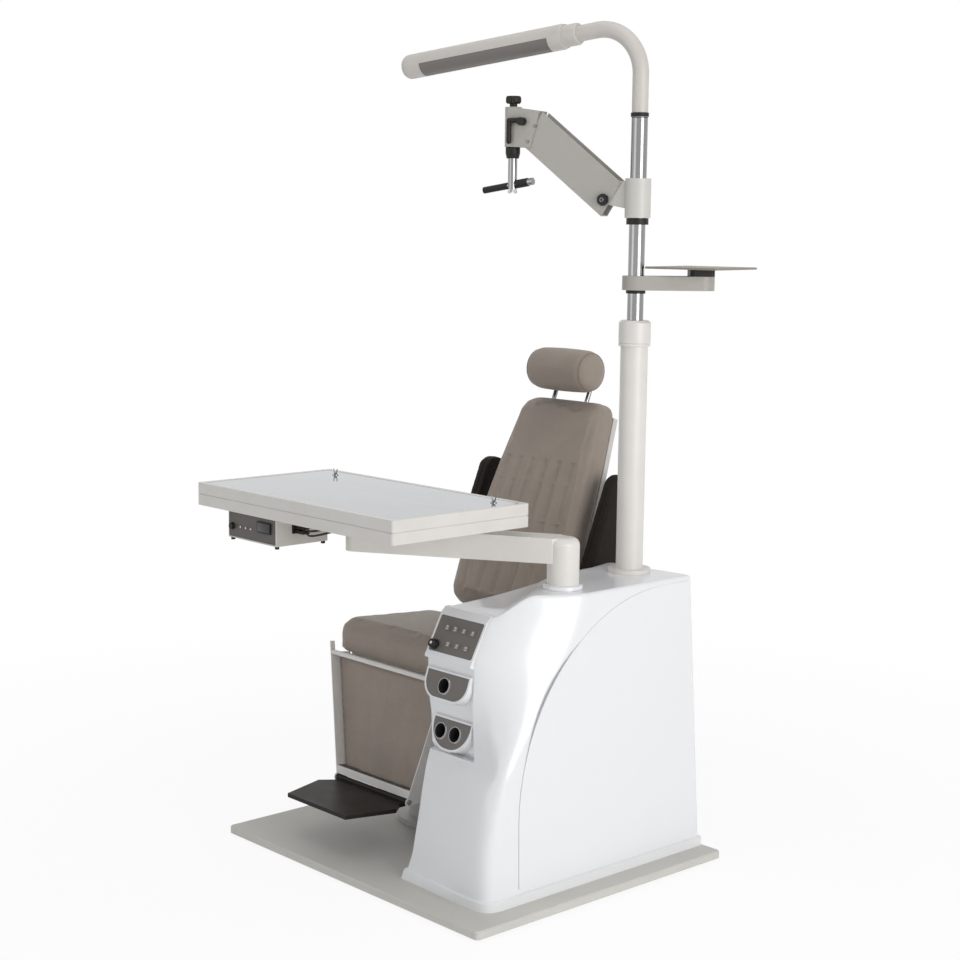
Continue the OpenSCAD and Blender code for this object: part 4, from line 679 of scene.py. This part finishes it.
def edged(node: str, body: str, surface: Surface, width: float = 0.8,
          segments: int = 2) -> bpy.types.Object:
    """Replaces a boxy CAD node by a copy whose sharp edges are softened.

    Args:
        node: the CAD node.
        body: the body it rides on.
        surface: its finish.
        width: width of the softened edge in millimetres.
        segments: steps of the softening.

    Returns:
        The new piece.
    """
    form = Form().copy_of(node)
    bmesh.ops.dissolve_limit(form.mesh, angle_limit=math.radians(0.4),
                             verts=form.mesh.verts[:], edges=form.mesh.edges[:])
    piece = form.finish(node + "_skin", body, surface, 32.0, (node,), outward=False)
    soften = piece.modifiers.new("soft_edges", "BEVEL")
    soften.width = width * MM
    soften.segments = segments
    soften.limit_method = "ANGLE"
    soften.angle_limit = math.radians(32)
    soften.harden_normals = True
    soften.use_clamp_overlap = True
    return piece


# ------------------------------------------------------------------- cushions


@dataclass
class Cushion:
    """A stuffed leather pad in the space of its CAD solid.

    Its cover swells by cloth simulation, and its seams are drawn in afterwards.
    Sizes are in millimetres of the local frame, whose z looks out of its face.
    """

    node: str
    body: str
    place: Matrix
    surface: Surface = Surface.LEATHER
    seam_surface: Surface = Surface.SEAM
    voxel: float = 5.0
    slack: float = 4.0
    cap: float = 12.0
    give: float = 1.0
    slide: float = 3.0
    calm: int = 3
    proud: float = 3.0
    fill: float = 0.7
    floor_z: float | None = None
    channels: Sequence[tuple[Vector, Vector]] = ()
    channel_depth: float = 6.0
    channel_width: float = 7.0
    piping: Sequence[tuple[Vector, Vector]] = ()
    piping_radius: float = 2.6
    stitch_pitch: float = 7.0
    mesh: bpy.types.Mesh | None = field(default=None, repr=False)

    def raw(self) -> bpy.types.Object:
        """Returns a remeshed, slightly smaller copy of the CAD solid."""
        form = Form().copy_of(self.node)
        bmesh.ops.recalc_face_normals(form.mesh, faces=form.mesh.faces[:])
        data = bpy.data.meshes.new(self.node + "_raw")
        form.mesh.to_mesh(data)
        form.mesh.free()
        rig = bpy.data.objects.new(self.node + "_raw", data)
        bpy.context.collection.objects.link(rig)
        grid = rig.modifiers.new("grid", "REMESH")
        grid.mode = "VOXEL"
        grid.voxel_size = self.voxel * MM
        self._bake(rig)
        even = bmesh.new()
        even.from_mesh(rig.data)
        for _ in range(self.calm):
            bmesh.ops.smooth_vert(even, verts=even.verts[:], factor=0.5, use_axis_x=True,
                                  use_axis_y=True, use_axis_z=True)
        even.normal_update()
        for vert in even.verts:
            vert.co -= vert.normal * self.slack * MM
        even.to_mesh(rig.data)
        even.free()
        return rig

    def _bake(self, rig: bpy.types.Object) -> None:
        """Turns an object's live modifiers into its mesh."""
        view = bpy.context.evaluated_depsgraph_get()
        view.update()
        baked = bpy.data.meshes.new_from_object(rig.evaluated_get(view))
        rig.modifiers.clear()
        rig.data = baked

    def swell(self, rig: bpy.types.Object) -> None:
        """Blows the cover up with cloth under pressure, then caps its movement.

        Args:
            rig: the remeshed copy, changed in place.
        """
        rest = [(v.co.copy(), v.normal.copy()) for v in rig.data.vertices]
        cloth = rig.modifiers.new("cover", "CLOTH")
        rules = cloth.settings
        rules.use_pressure = True
        rules.uniform_pressure_force = 4.0
        rules.effector_weights.gravity = 0.0
        rules.quality = 4
        cloth.collision_settings.use_collision = False
        cloth.collision_settings.use_self_collision = False
        cloth.point_cache.frame_start = 1
        cloth.point_cache.frame_end = 20
        scene = bpy.context.scene
        for number in range(1, 21):
            scene.frame_set(number)
        self._bake(rig)
        scene.frame_set(1)
        for vert, (start, normal) in zip(rig.data.vertices, rest):
            move = vert.co - start
            out = move.dot(normal)
            slide = move - normal * out
            if slide.length > self.slide * MM:
                slide = slide.normalized() * self.slide * MM
            out = min(max(out, -self.give * MM), self.cap * MM)
            vert.co = start + normal * out + slide

    def subdivide(self, rig: bpy.types.Object) -> None:
        """Gives the cover one level of subdivision."""
        finer = rig.modifiers.new("finer", "SUBSURF")
        finer.levels = 1
        finer.render_levels = 1
        self._bake(rig)

    def confine(self, rig: bpy.types.Object) -> None:
        """Keeps the cover by its CAD solid and off what the pad rests on."""
        solid = Form().copy_of(self.node)
        tree = BVHTree.FromBMesh(solid.mesh)
        back = self.place.inverted()
        for vert in rig.data.vertices:
            near, normal, _, _ = tree.find_nearest(vert.co)
            out = (vert.co - near).dot(normal)
            if out > self.proud * MM:
                vert.co = near + (vert.co - near) * (self.proud * MM / out)
            local = back @ vert.co
            if self.floor_z is not None and local.z < self.floor_z * MM:
                local.z = self.floor_z * MM
            vert.co = self.place @ local
        solid.mesh.free()

    def draw_in(self, rig: bpy.types.Object) -> None:
        """Pulls the cover in along its sewn channels, and puffs it between them."""
        if not self.channels:
            return
        work = bmesh.new()
        work.from_mesh(rig.data)
        work.normal_update()
        back = self.place.inverted()
        turn = back.to_3x3()
        for vert in work.verts:
            local = back @ vert.co / MM
            facing = (turn @ vert.normal).normalized().z
            if facing < 0.25:
                continue
            sink = 0.0
            for start, end in self.channels:
                away, reach = self._distance(local, start, end)
                fall = math.exp(-(away / self.channel_width) ** 2)
                sink = max(sink, fall * reach)
            vert.co -= vert.normal * sink * self.channel_depth * facing * MM
        work.to_mesh(rig.data)
        work.free()

    @staticmethod
    def _distance(local: Vector, start: Vector, end: Vector) -> tuple[float, float]:
        """Measures from a point to a seam in plan.

        Returns:
            The distance, and a weight that fades past the seam's ends.
        """
        run = Vector((end[0] - start[0], end[1] - start[1]))
        step = Vector((local.x - start[0], local.y - start[1]))
        along = step.dot(run) / run.length_squared
        held = min(max(along, 0.0), 1.0)
        away = (step - run * held).length
        fade = min(1.0, min(held, 1.0 - held) * 12 + 0.15)
        return away, fade

    def loop(self, rig: bpy.types.Object, point: Vector, normal: Vector,
             lift: float = 0.0) -> list[Vector]:
        """Finds the closed line where a plane cuts the cover.

        Args:
            rig: the finished cover.
            point: a place on the plane, local millimetres.
            normal: the plane's direction in the local frame.
            lift: how far the line stands off the cover, millimetres.

        Returns:
            Evenly spaced points along the line, in the shared frame.
        """
        work = bmesh.new()
        work.from_mesh(rig.data)
        work.normal_update()
        centre = self.place @ (Vector(point) * MM)
        axis = (self.place.to_3x3() @ Vector(normal)).normalized()
        cut = bmesh.ops.bisect_plane(work, geom=work.verts[:] + work.edges[:] + work.faces[:],
                                     dist=1e-6, plane_co=centre, plane_no=axis)
        edges = {e for e in cut["geom_cut"] if isinstance(e, bmesh.types.BMEdge)}
        best: list[Vector] = []
        while edges:
            first = edges.pop()
            chain = [first.verts[0], first.verts[1]]
            while True:
                tip = chain[-1]
                following = next((e for e in tip.link_edges if e in edges), None)
                if following is None:
                    break
                edges.discard(following)
                chain.append(following.other_vert(tip))
            places = [v.co + v.normal * lift * MM for v in chain]
            if len(places) > len(best):
                best = places
        work.free()
        return evened(best, 5.0 * MM)

    def sew(self, rig: bpy.types.Object) -> None:
        """Adds piping round the edges and stitches beside the channels."""
        if self.piping:
            form = Form()
            for point, normal in self.piping:
                line = self.loop(rig, point, normal, self.piping_radius * 0.25)
                if len(line) > 8:
                    form.sweep(line, self.piping_radius)
            form.finish(self.node + "_piping", self.body, self.seam_surface, 60.0)
        if self.channels:
            self.stitch(rig)

    def stitch(self, rig: bpy.types.Object) -> None:
        """Lays a row of short stitches in each channel."""
        cover = bmesh.new()
        cover.from_mesh(rig.data)
        tree = BVHTree.FromBMesh(cover)
        look = (self.place.to_3x3() @ Vector((0, 0, -1))).normalized()
        form = Form()
        for start, end in self.channels:
            run = Vector(end) - Vector(start)
            count = int(run.length / self.stitch_pitch)
            for k in range(1, count):
                middle = Vector(start) + run * (k / count)
                high = self.place @ (Vector((middle.x, middle.y, 200)) * MM)
                hit, normal, _, _ = tree.ray_cast(high, look)
                if hit is None:
                    continue
                along = (self.place.to_3x3() @ run).normalized()
                side = along.cross(normal).normalized()
                form.place = frame_at(hit, side, along, side.cross(along))
                form.block((0.9, 4.2, 0.7), (0, 0, 0), 0.25, 1)
        cover.free()
        form.finish(self.node + "_stitches", self.body, Surface.THREAD, 80.0)

    def build(self) -> bpy.types.Object:
        """Returns:
            The cover.
        """
        rig = self.raw()
        self.swell(rig)
        self.subdivide(rig)
        self.confine(rig)
        self.draw_in(rig)
        rig.name = self.node + "_cover"
        rig.data.name = rig.name
        for face in rig.data.polygons:
            face.use_smooth = True
        rig.data.materials.clear()
        self.surface.slots(rig)
        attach(rig, self.body)
        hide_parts(self.node)
        self.sew(rig)
        LOG.info("%s: %d faces on %s", rig.name, len(rig.data.polygons), self.body)
        return rig


def evened(line: Sequence[Vector], pitch: float) -> list[Vector]:
    """Spaces the points of a closed line evenly and takes its jitter out.

    Args:
        line: the points in order.
        pitch: distance between two points of the result.

    Returns:
        The new points.
    """
    if len(line) < 8:
        return list(line)
    ring = list(line) + [line[0]]
    total = sum((b - a).length for a, b in zip(ring, ring[1:]))
    count = max(12, int(total / pitch))
    made, walked, k, step = [], 0.0, 0, total / count
    target = 0.0
    while len(made) < count and k < len(ring) - 1:
        span = (ring[k + 1] - ring[k]).length
        if walked + span >= target and span > 0:
            made.append(ring[k].lerp(ring[k + 1], (target - walked) / span))
            target += step
        else:
            walked += span
            k += 1
    for _ in range(3):
        made = [(made[j - 1] + made[j] * 2 + made[(j + 1) % len(made)]) / 4
                for j in range(len(made))]
    return made


# --------------------------------------------------------------- sub-assemblies


@dataclass
class Base:
    """Base plate, rubber pads and the chair's lift."""

    def build(self) -> None:
        """Dresses the base."""
        refit("base_plate", "stand", Surface.BASE, 40.0)
        Surface.RUBBER.slots(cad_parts["base_feet"])
        refit("lift_base", "stand", Surface.FRAME)
        refit("lift_ram", "chair", Surface.STEEL)


@dataclass
class Console:
    """Moulded console with its head, side panel, keypad, holders and knob."""

    keypad: Matrix = field(default_factory=lambda: leaning((185.09, -221.15, 588.10), KEYPAD_LEAN))
    upper_pod: Matrix = field(default_factory=lambda: leaning((185.09, -241.15, 512.18), POD_LEAN))
    lower_pod: Matrix = field(default_factory=lambda: leaning((190.09, -230.72, 402.95), POD_LEAN))
    keys: Sequence[tuple[float, float]] = ((-38, 16.5), (-11, 16.5), (18, 16.5), (47, 16.5),
                                           (-17, -20.5), (13, -20.5), (43, -20.5))
    cups: Sequence[tuple[str, float]] = (("upper", -6.0), ("lower", -33.0), ("lower", 15.0))
    cup_drop: float = 34.0
    bore: float = 15.9
    height: float = 666.0
    rear_draft: float = 40.0

    def shells(self) -> None:
        """Gives the moulded shells their smooth gloss."""
        for node in ("console_shell", "console_head", "side_panel"):
            refit(node, "stand", Surface.CONSOLE, 34.0)
        refit_all((("keypad_plate", "stand", Surface.PANEL),
                   ("pod_rims", "stand", Surface.CONSOLE, 34.0),
                   ("pod_plates", "stand", Surface.PANEL),
                   ("pod_cups", "stand", Surface.CHROME),
                   ("panel_knob", "panel_knob", Surface.BLACK)))

    def buttons(self) -> None:
        """Sets the seven keys, each with a pale ring and bar on its cap."""
        pads, marks = Form(self.keypad), Form(self.keypad)
        for x, y in self.keys:
            pads.block((14.5, 13.0, 1.6), (x, y, 0.4), 0.7, 3)
            marks.block((6.4, 1.3, 0.5), (x, y - 3.4, 1.3), 0.15, 2)
            ring = [(1.5, 1.0), (1.5, 1.5), (2.5, 1.5), (2.5, 1.0)]
            marks.turned(ring, Matrix.Translation((x, y + 1.8, 0)), 20)
        pads.finish("keypad_keys", "stand", Surface.KEY)
        # The printed key marks take the glowing mark finish, a painted glow.
        marks.finish("keypad_marks", "stand", Surface.MARK)

    def liners(self) -> None:
        """Lines the holder cups with dark sleeves and rubber rims."""
        form = Form()
        for row, x in self.cups:
            place = self.upper_pod if row == "upper" else self.lower_pod
            at = place @ Matrix.Translation(Vector((x, -self.cup_drop, 0)) * MM)
            form.place = at
            r = self.bore
            form.turned([(r, 1.0), (r, -38.0), (r * 0.9, -41.0), (0.0, -41.4)], None, 48)
        form.finish("cup_liners", "stand", Surface.RUBBER, outward=False)

    def rear(self) -> None:
        """Adds the service cover on the leaning back, with slots and screws."""
        low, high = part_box("console_shell")
        width, height, middle = 190.0, 330.0, 300.0
        lean = math.atan2(self.rear_draft, self.height)
        x = (low[0] + high[0]) / 2 / MM
        y = high[1] / MM - self.rear_draft * (middle - low[2] / MM) / self.height
        place = frame_at(Vector((x, y, middle)) * MM, Vector((-1, 0, 0)),
                         Vector((0, -math.sin(lean), math.cos(lean))),
                         Vector((0, math.cos(lean), math.sin(lean))))
        form, screws = Form(place), Form(place)
        form.block((width, height, 4.0), (0, 0, 0.2), 1.2, 3)
        for k in range(9):
            form.block((width * 0.55, 4.0, 2.0), (0, 62.0 + k * 9.0, 2.4), 0.9, 3)
        form.finish("service_cover", "stand", Surface.CONSOLE)
        for sx in (-1, 1):
            for v in (-150.0, 0.0, 150.0):
                screws.screw((sx * (width / 2 - 9), v, 2.1), (0, 0, 1), 3.4, 1.6)
        screws.finish("service_screws", "stand", Surface.STEEL)

    def build(self) -> None:
        """Dresses the console."""
        self.shells()
        self.buttons()
        self.liners()
        self.rear()
        lean = math.radians(KEYPAD_LEAN)
        dot = Form(far_face("panel_knob", (0, -math.cos(lean), math.sin(lean))))
        dot.turned([(3.4, -0.4), (3.4, 0.3), (3.0, 0.7), (0.0, 0.8)], None, 24)
        # The knob's printed dot takes the glowing mark finish, a painted glow.
        dot.finish("panel_knob_dot", "panel_knob", Surface.MARK)


@dataclass
class InstrumentTable:
    """Swing table: post, beam, tray with its mirror, and the control box."""

    lights: Sequence[tuple[float, float]] = ((52.0, 29.5), (73.0, 29.5), (93.0, 29.5))

    def build(self) -> None:
        """Dresses the table."""
        refit("table_spindle", "stand", Surface.STEEL)
        self.collar()
        refit("table_arm", "table", Surface.COLUMN, 38.0)
        edged("table_mount", "table", Surface.TABLE, 0.8)
        edged("table_frame", "table", Surface.TABLE, 1.2, 3)
        refit("table_glass", "table", Surface.MIRROR)
        refit("table_clips", "table", Surface.CHROME)
        edged("control_box", "table", Surface.BOX, 1.2, 3)
        refit_all((("box_panel", "table", Surface.FACIA), ("box_knob", "box_knob", Surface.BLACK),
                   ("box_fittings", "table", Surface.BLACK),
                   ("box_leads", "table", Surface.CABLE)))
        self.panel()

    def collar(self) -> None:
        """Covers the post's ring on the console with its white moulded cap."""
        low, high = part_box("table_spindle")
        r = (high[0] - low[0]) / 2 / MM
        place = Matrix.Translation(((low[0] + high[0]) / 2, (low[1] + high[1]) / 2, 0))
        cap = Form(place)
        cap.turned([(r + 0.5, 690.5), (r + 0.5, 698.6), (r - 0.6, 700.4), (r - 2.5, 700.9),
                    (r * 0.55, 700.9), (r * 0.55, 700.2)], None, 64)
        cap.finish("post_cap", "stand", Surface.CONSOLE, 50.0)

    def panel(self) -> None:
        """Adds the display window and the lights to the box's panel."""
        place = leaning(BOX_PLACE, 0.0)
        bezel, glass, dots = Form(place), Form(place), Form(place)
        bezel.block((53.0, 27.0, 2.4), (145.0, 39.0, 1.0), 1.0, 3)
        glass.block((46.0, 20.0, 1.4), (145.0, 39.0, 2.0), 0.5, 3)
        for x, y in self.lights:
            dome = [(2.2, -0.4), (2.2, 0.6), (1.7, 1.3), (0.9, 1.7), (0.0, 1.8)]
            dots.turned(dome, Matrix.Translation((x, y, 1.0)), 20)
        bezel.finish("box_bezel", "table", Surface.BLACK)
        glass.finish("box_display", "table", Surface.DISPLAY)
        dots.finish("box_lights", "table", Surface.MARK)


@dataclass
class Column:
    """Painted column, split collar, chromed pole and its rings."""

    def build(self) -> None:
        """Dresses the column."""
        refit_all((("column_tube", "stand", Surface.COLUMN),
                   ("column_collar", "stand", Surface.COLUMN),
                   ("pole", "stand", Surface.CHROME), ("pole_rings", "stand", Surface.BLACK)))


@dataclass
class InstrumentArm:
    """Balanced arm with its clamp, channel, link, head and cross rod."""

    direction: float = 195.0

    def build(self) -> None:
        """Dresses the arm."""
        refit("arm_clamp", "arm_clamp", Surface.CLAMP)
        refit("clamp_pins", "arm_clamp", Surface.PIN)
        edged("arm_channel", "arm_channel", Surface.ARM, 0.7)
        refit_all((("arm_link", "arm_link", Surface.ARM), ("arm_head", "arm_head", Surface.ARM),
                   ("head_pins", "arm_head", Surface.PIN),
                   ("head_nose", "arm_head", Surface.BLACK),
                   ("tension_knob", "tension_knob", Surface.BLACK),
                   ("star_knob", "star_knob", Surface.BLACK),
                   ("clamp_lever", "clamp_lever", Surface.BLACK),
                   ("instrument_pin", "instrument_pin", Surface.CHROME),
                   ("rod_core", "cross_rod", Surface.CHROME),
                   ("rod_sleeves", "cross_rod", Surface.BLACK),
                   ("thumb_screw", "thumb_screw", Surface.CHROME)))
        side = math.radians(self.direction + 90)
        ring = Form(far_face("tension_knob", (math.cos(side), math.sin(side), 0)))
        ring.turned([(3.2, -0.4), (3.2, 0.5), (3.6, 0.9), (4.8, 0.9), (5.2, 0.5), (5.2, -0.4)],
                    None, 32)
        ring.finish("tension_knob_ring", "tension_knob", Surface.PIN)


@dataclass
class Lamp:
    """Bent lamp tube with its long housing and louvred strip."""

    def build(self) -> None:
        """Dresses the lamp."""
        refit("lamp_tube", "lamp", Surface.LAMP, 50.0)
        refit("lamp_housing", "lamp_head", Surface.LAMP)
        refit("lamp_diffuser", "lamp_head", Surface.LOUVRE)
        # Black ring at the foot of the lamp tube: painted shade, a dark ring standing for the
        # shadow gap where the tube meets the pole.
        ring = Form(Matrix.Translation(Vector(COLUMN_PLACE) * MM))
        low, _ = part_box("lamp_tube")
        z = low[2] / MM
        ring.turned([(19.2, z + 1), (20.6, z + 1), (20.9, z + 2), (20.9, z + 9), (20.6, z + 10),
                     (19.2, z + 10)], None, 48)
        ring.finish("lamp_shadow_ring", "lamp", Surface.BLACK)


@dataclass
class Shelf:
    """Shelf bracket, black block and thin plate."""

    def build(self) -> None:
        """Dresses the shelf."""
        refit("shelf_bracket", "shelf", Surface.BRACKET)
        refit("shelf_block", "shelf", Surface.BLACK)
        edged("shelf_plate", "shelf", Surface.SHELF, 0.8)


@dataclass
class Chair:
    """Seat, backrest, headrest, armrests, leg rest and footrest."""

    seat: Matrix = field(default_factory=lambda: Matrix.Translation(Vector((-170, 0, 0)) * MM))
    back: Matrix = field(default_factory=lambda: leaning((-170, 265, 462), BACK_LEAN))
    leg: Matrix = field(default_factory=lambda: leaning((-170, -175, 150), LEG_LEAN))
    half_shares: Sequence[tuple[float, float]] = ((0, 1), (0.236, 1), (0.33, 0.93), (0.425, 0.868),
                                                  (0.706, 0.802), (0.8, 0.77), (1, 0.7))
    half_width: float = 204.0
    back_foot: float = 45.0
    back_run: float = 590.0
    armrest_middle: float = 231.0

    def back_half(self, share: float) -> float:
        """Returns the backrest's half width at a share of its length."""
        for (s0, h0), (s1, h1) in zip(self.half_shares, self.half_shares[1:]):
            if share <= s1:
                return self.half_width * (h0 + (h1 - h0) * (share - s0) / (s1 - s0))
        return self.half_width * self.half_shares[-1][1]

    def back_channels(self) -> list[tuple[Vector, Vector]]:
        """Returns the backrest's six sewn lines, which close in towards the top."""
        lines = []
        for u in (-5 / 7, -3 / 7, -1 / 7, 1 / 7, 3 / 7, 5 / 7):
            knots = [0.07, 0.236, 0.33, 0.425, 0.6, 0.7]
            for a, b in zip(knots, knots[1:]):
                ends = [Vector((u * self.back_half(t), self.back_foot + self.back_run * t, 0))
                        for t in (a, b)]
                lines.append((ends[0], ends[1]))
        return lines

    def cushions(self) -> None:
        """Sews the seat, the backrest, the headrest and the leg pad."""
        z = Vector((0, 0, 1))
        Cushion("seat_cushion", "chair", self.seat, voxel=5.0, slack=1.5, calm=2, cap=22.0,
                floor_z=437.3, fill=0.75).build()
        Cushion("back_cushion", "backrest", self.back, voxel=5.5, slack=1.5, calm=2,
                cap=22.0, floor_z=-24.7, fill=0.7, channels=self.back_channels(),
                channel_depth=4.5, channel_width=8.0,
                piping=((Vector((0, 0, -14)), z),), piping_radius=1.4).build()
        Cushion("headrest_bolster", "headrest", self.back, voxel=4.0, slack=4.0, cap=9.0,
                fill=0.9, piping=((Vector((-93, 700, 62)), Vector((1, 0, 0))),
                                  (Vector((93, 700, 62)), Vector((1, 0, 0)))),
                piping_radius=1.8).build()
        Cushion("leg_pad", "chair", self.leg, voxel=5.0, slack=0.6, cap=5.0, proud=0.4,
                fill=0.9, calm=2).build()

    def armrests(self) -> None:
        """Covers the two armrests with dark leather."""
        x = Vector((1, 0, 0))
        for side, name in ((-1, "armrest_left"), (1, "armrest_right")):
            Cushion(name, name, self.back, Surface.DARK_LEATHER, Surface.DARK_SEAM, voxel=4.0,
                    slack=2.0, cap=5.0, proud=1.0, fill=0.95, calm=6,
                    piping=((Vector((side * self.armrest_middle, 300, 0)), x),),
                    piping_radius=0.9).build()

    def metalwork(self) -> None:
        """Dresses the chair's frames, pins and footrest."""
        edged("seat_frame", "chair", Surface.FRAME, 1.0)
        refit("chair_pins", "chair", Surface.STEEL)
        edged("leg_frame", "chair", Surface.LEG, 0.6)
        refit("foot_bolts", "chair", Surface.STEEL)
        edged("back_frame", "backrest", Surface.FRAME, 1.0)
        refit("armrest_pins", "backrest", Surface.STEEL)
        refit("headrest_stays", "headrest", Surface.CHROME)
        edged("footrest", "footrest", Surface.FOOT, 1.0, 3)

    def build(self) -> None:
        """Dresses the chair."""
        self.metalwork()
        self.cushions()
        self.armrests()


@dataclass
class Studio:
    """Floor, background, lamps and the camera at the photograph's angle."""

    focal: float = 68.1
    yaw: float = 47.537
    pitch: float = 7.974
    roll: float = 0.706
    eye: tuple[float, float, float] = (3.1496, -2.8678, 1.5)

    def camera(self) -> None:
        """Places the camera."""
        yaw, pitch, roll = (math.radians(a) for a in (self.yaw, self.pitch, self.roll))
        back = Vector((math.sin(yaw) * math.cos(pitch), -math.cos(yaw) * math.cos(pitch),
                       math.sin(pitch)))
        right = Vector((math.cos(yaw), math.sin(yaw), 0))
        up = back.cross(right)
        across = right * math.cos(roll) + up * math.sin(roll)
        upward = up * math.cos(roll) - right * math.sin(roll)
        lens = bpy.data.cameras.new("camera")
        lens.lens = self.focal
        lens.sensor_width = 36.0
        lens.clip_end = 50.0
        rig = bpy.data.objects.new("camera", lens)
        rig.matrix_world = frame_at(self.eye, across, upward, back)
        bpy.context.collection.objects.link(rig)
        bpy.context.scene.camera = rig

    @staticmethod
    def seen(tree: bpy.types.NodeTree) -> bpy.types.NodeSocket:
        """Returns 1 for camera, mirror and glass rays, and 0 for the light on things."""
        path = tree.nodes.new("ShaderNodeLightPath")
        found = path.outputs["Is Camera Ray"]
        for kind in ("Is Glossy Ray", "Is Transmission Ray"):
            either = tree.nodes.new("ShaderNodeMath")
            either.operation = "MAXIMUM"
            tree.links.new(found, either.inputs[0])
            tree.links.new(path.outputs[kind], either.inputs[1])
            found = either.outputs[0]
        return found

    def world(self) -> None:
        """Makes a white background and an even, plainer light from all round."""
        sky = bpy.data.worlds.new("studio")
        sky.use_nodes = True
        bpy.context.scene.world = sky
        tree = sky.node_tree
        tree.nodes.clear()
        out = tree.nodes.new("ShaderNodeOutputWorld")
        mix = tree.nodes.new("ShaderNodeMixShader")
        light = tree.nodes.new("ShaderNodeBackground")
        light.inputs[0].default_value = (0.93, 0.96, 1.0, 1.0)
        light.inputs[1].default_value = 0.42
        view = tree.nodes.new("ShaderNodeBackground")
        view.inputs[0].default_value = (1.0, 1.0, 1.0, 1.0)
        view.inputs[1].default_value = 1.0
        tree.links.new(self.seen(tree), mix.inputs[0])
        tree.links.new(light.outputs[0], mix.inputs[1])
        tree.links.new(view.outputs[0], mix.inputs[2])
        tree.links.new(mix.outputs[0], out.inputs[0])

    def floor(self) -> None:
        """Lays the plain pale floor, which keeps the unit's shadow."""
        form = Form()
        bmesh.ops.create_grid(form.mesh, x_segments=4, y_segments=4, size=14.0)
        data = bpy.data.meshes.new("studio_floor")
        form.mesh.to_mesh(data)
        form.mesh.free()
        floor = bpy.data.objects.new("studio_floor", data)
        bpy.context.collection.objects.link(floor)
        net = Net("studio_floor")
        cloud = net.noise(0.6, 2.0, 0.5)
        net.dress(Base_Color=net.tone(cloud, linear("fbfaf9"), linear("fefdfc")),
                  Roughness=cloud.spread(0.3, 0.7, 0.6, 0.7))
        glow = net.node("ShaderNodeEmission", None, {0: (1.0, 1.0, 1.0, 1.0), 1: 1.0})
        mix = net.node("ShaderNodeMixShader")
        reach = net.node("ShaderNodeVectorMath", {"operation": "LENGTH"}, {0: net.place})
        far = Wire(net, reach.outputs["Value"]).spread(1.0, 2.6, 0.9, 1.0)
        seen = Wire(net, self.seen(net.tree)) * far
        net.feed(mix.inputs[0], seen)
        net.feed(mix.inputs[1], net.shader.outputs[0])
        net.feed(mix.inputs[2], glow.outputs[0])
        net.tree.links.new(mix.outputs[0], net.output.inputs[0])
        data.materials.append(net.material)

    def lamp(self, name: str, at: Sequence[float], aim: Sequence[float], size: float,
             power: float) -> None:
        """Hangs one soft lamp.

        Args:
            name: its name.
            at: where it hangs.
            aim: what it looks at.
            size: its side.
            power: its power in watts.
        """
        data = bpy.data.lights.new(name, "AREA")
        data.shape = "SQUARE"
        data.size = size
        data.energy = power
        rig = bpy.data.objects.new(name, data)
        away = Vector(at) - Vector(aim)
        turn = away.to_track_quat("Z", "Y").to_matrix().to_4x4()
        rig.matrix_world = Matrix.Translation(Vector(at)) @ turn
        bpy.context.collection.objects.link(rig)

    def build(self) -> None:
        """Sets up the studio."""
        bpy.context.scene.view_settings.view_transform = "Standard"
        self.camera()
        self.world()
        self.floor()
        self.lamp("key", (4.6, -0.4, 1.6), (0.1, 0.0, 0.8), 2.6, 100.0)
        self.lamp("fill", (-1.2, -4.6, 2.0), (0.0, 0.0, 0.8), 2.6, 22.0)
        self.lamp("overhead", (0.0, -0.3, 4.2), (0.0, 0.0, 0.6), 3.0, 30.0)


def main() -> None:
    """Builds the studio and every sub-assembly in order."""
    logging.basicConfig(level=logging.INFO, format="%(name)s %(message)s")
    Studio().build()
    for part in (Base(), Console(), InstrumentTable(), Column(), InstrumentArm(), Lamp(),
                 Shelf(), Chair()):
        part.build()
        LOG.info("%s done", type(part).__name__)


if __name__ == "__main__":
    main()
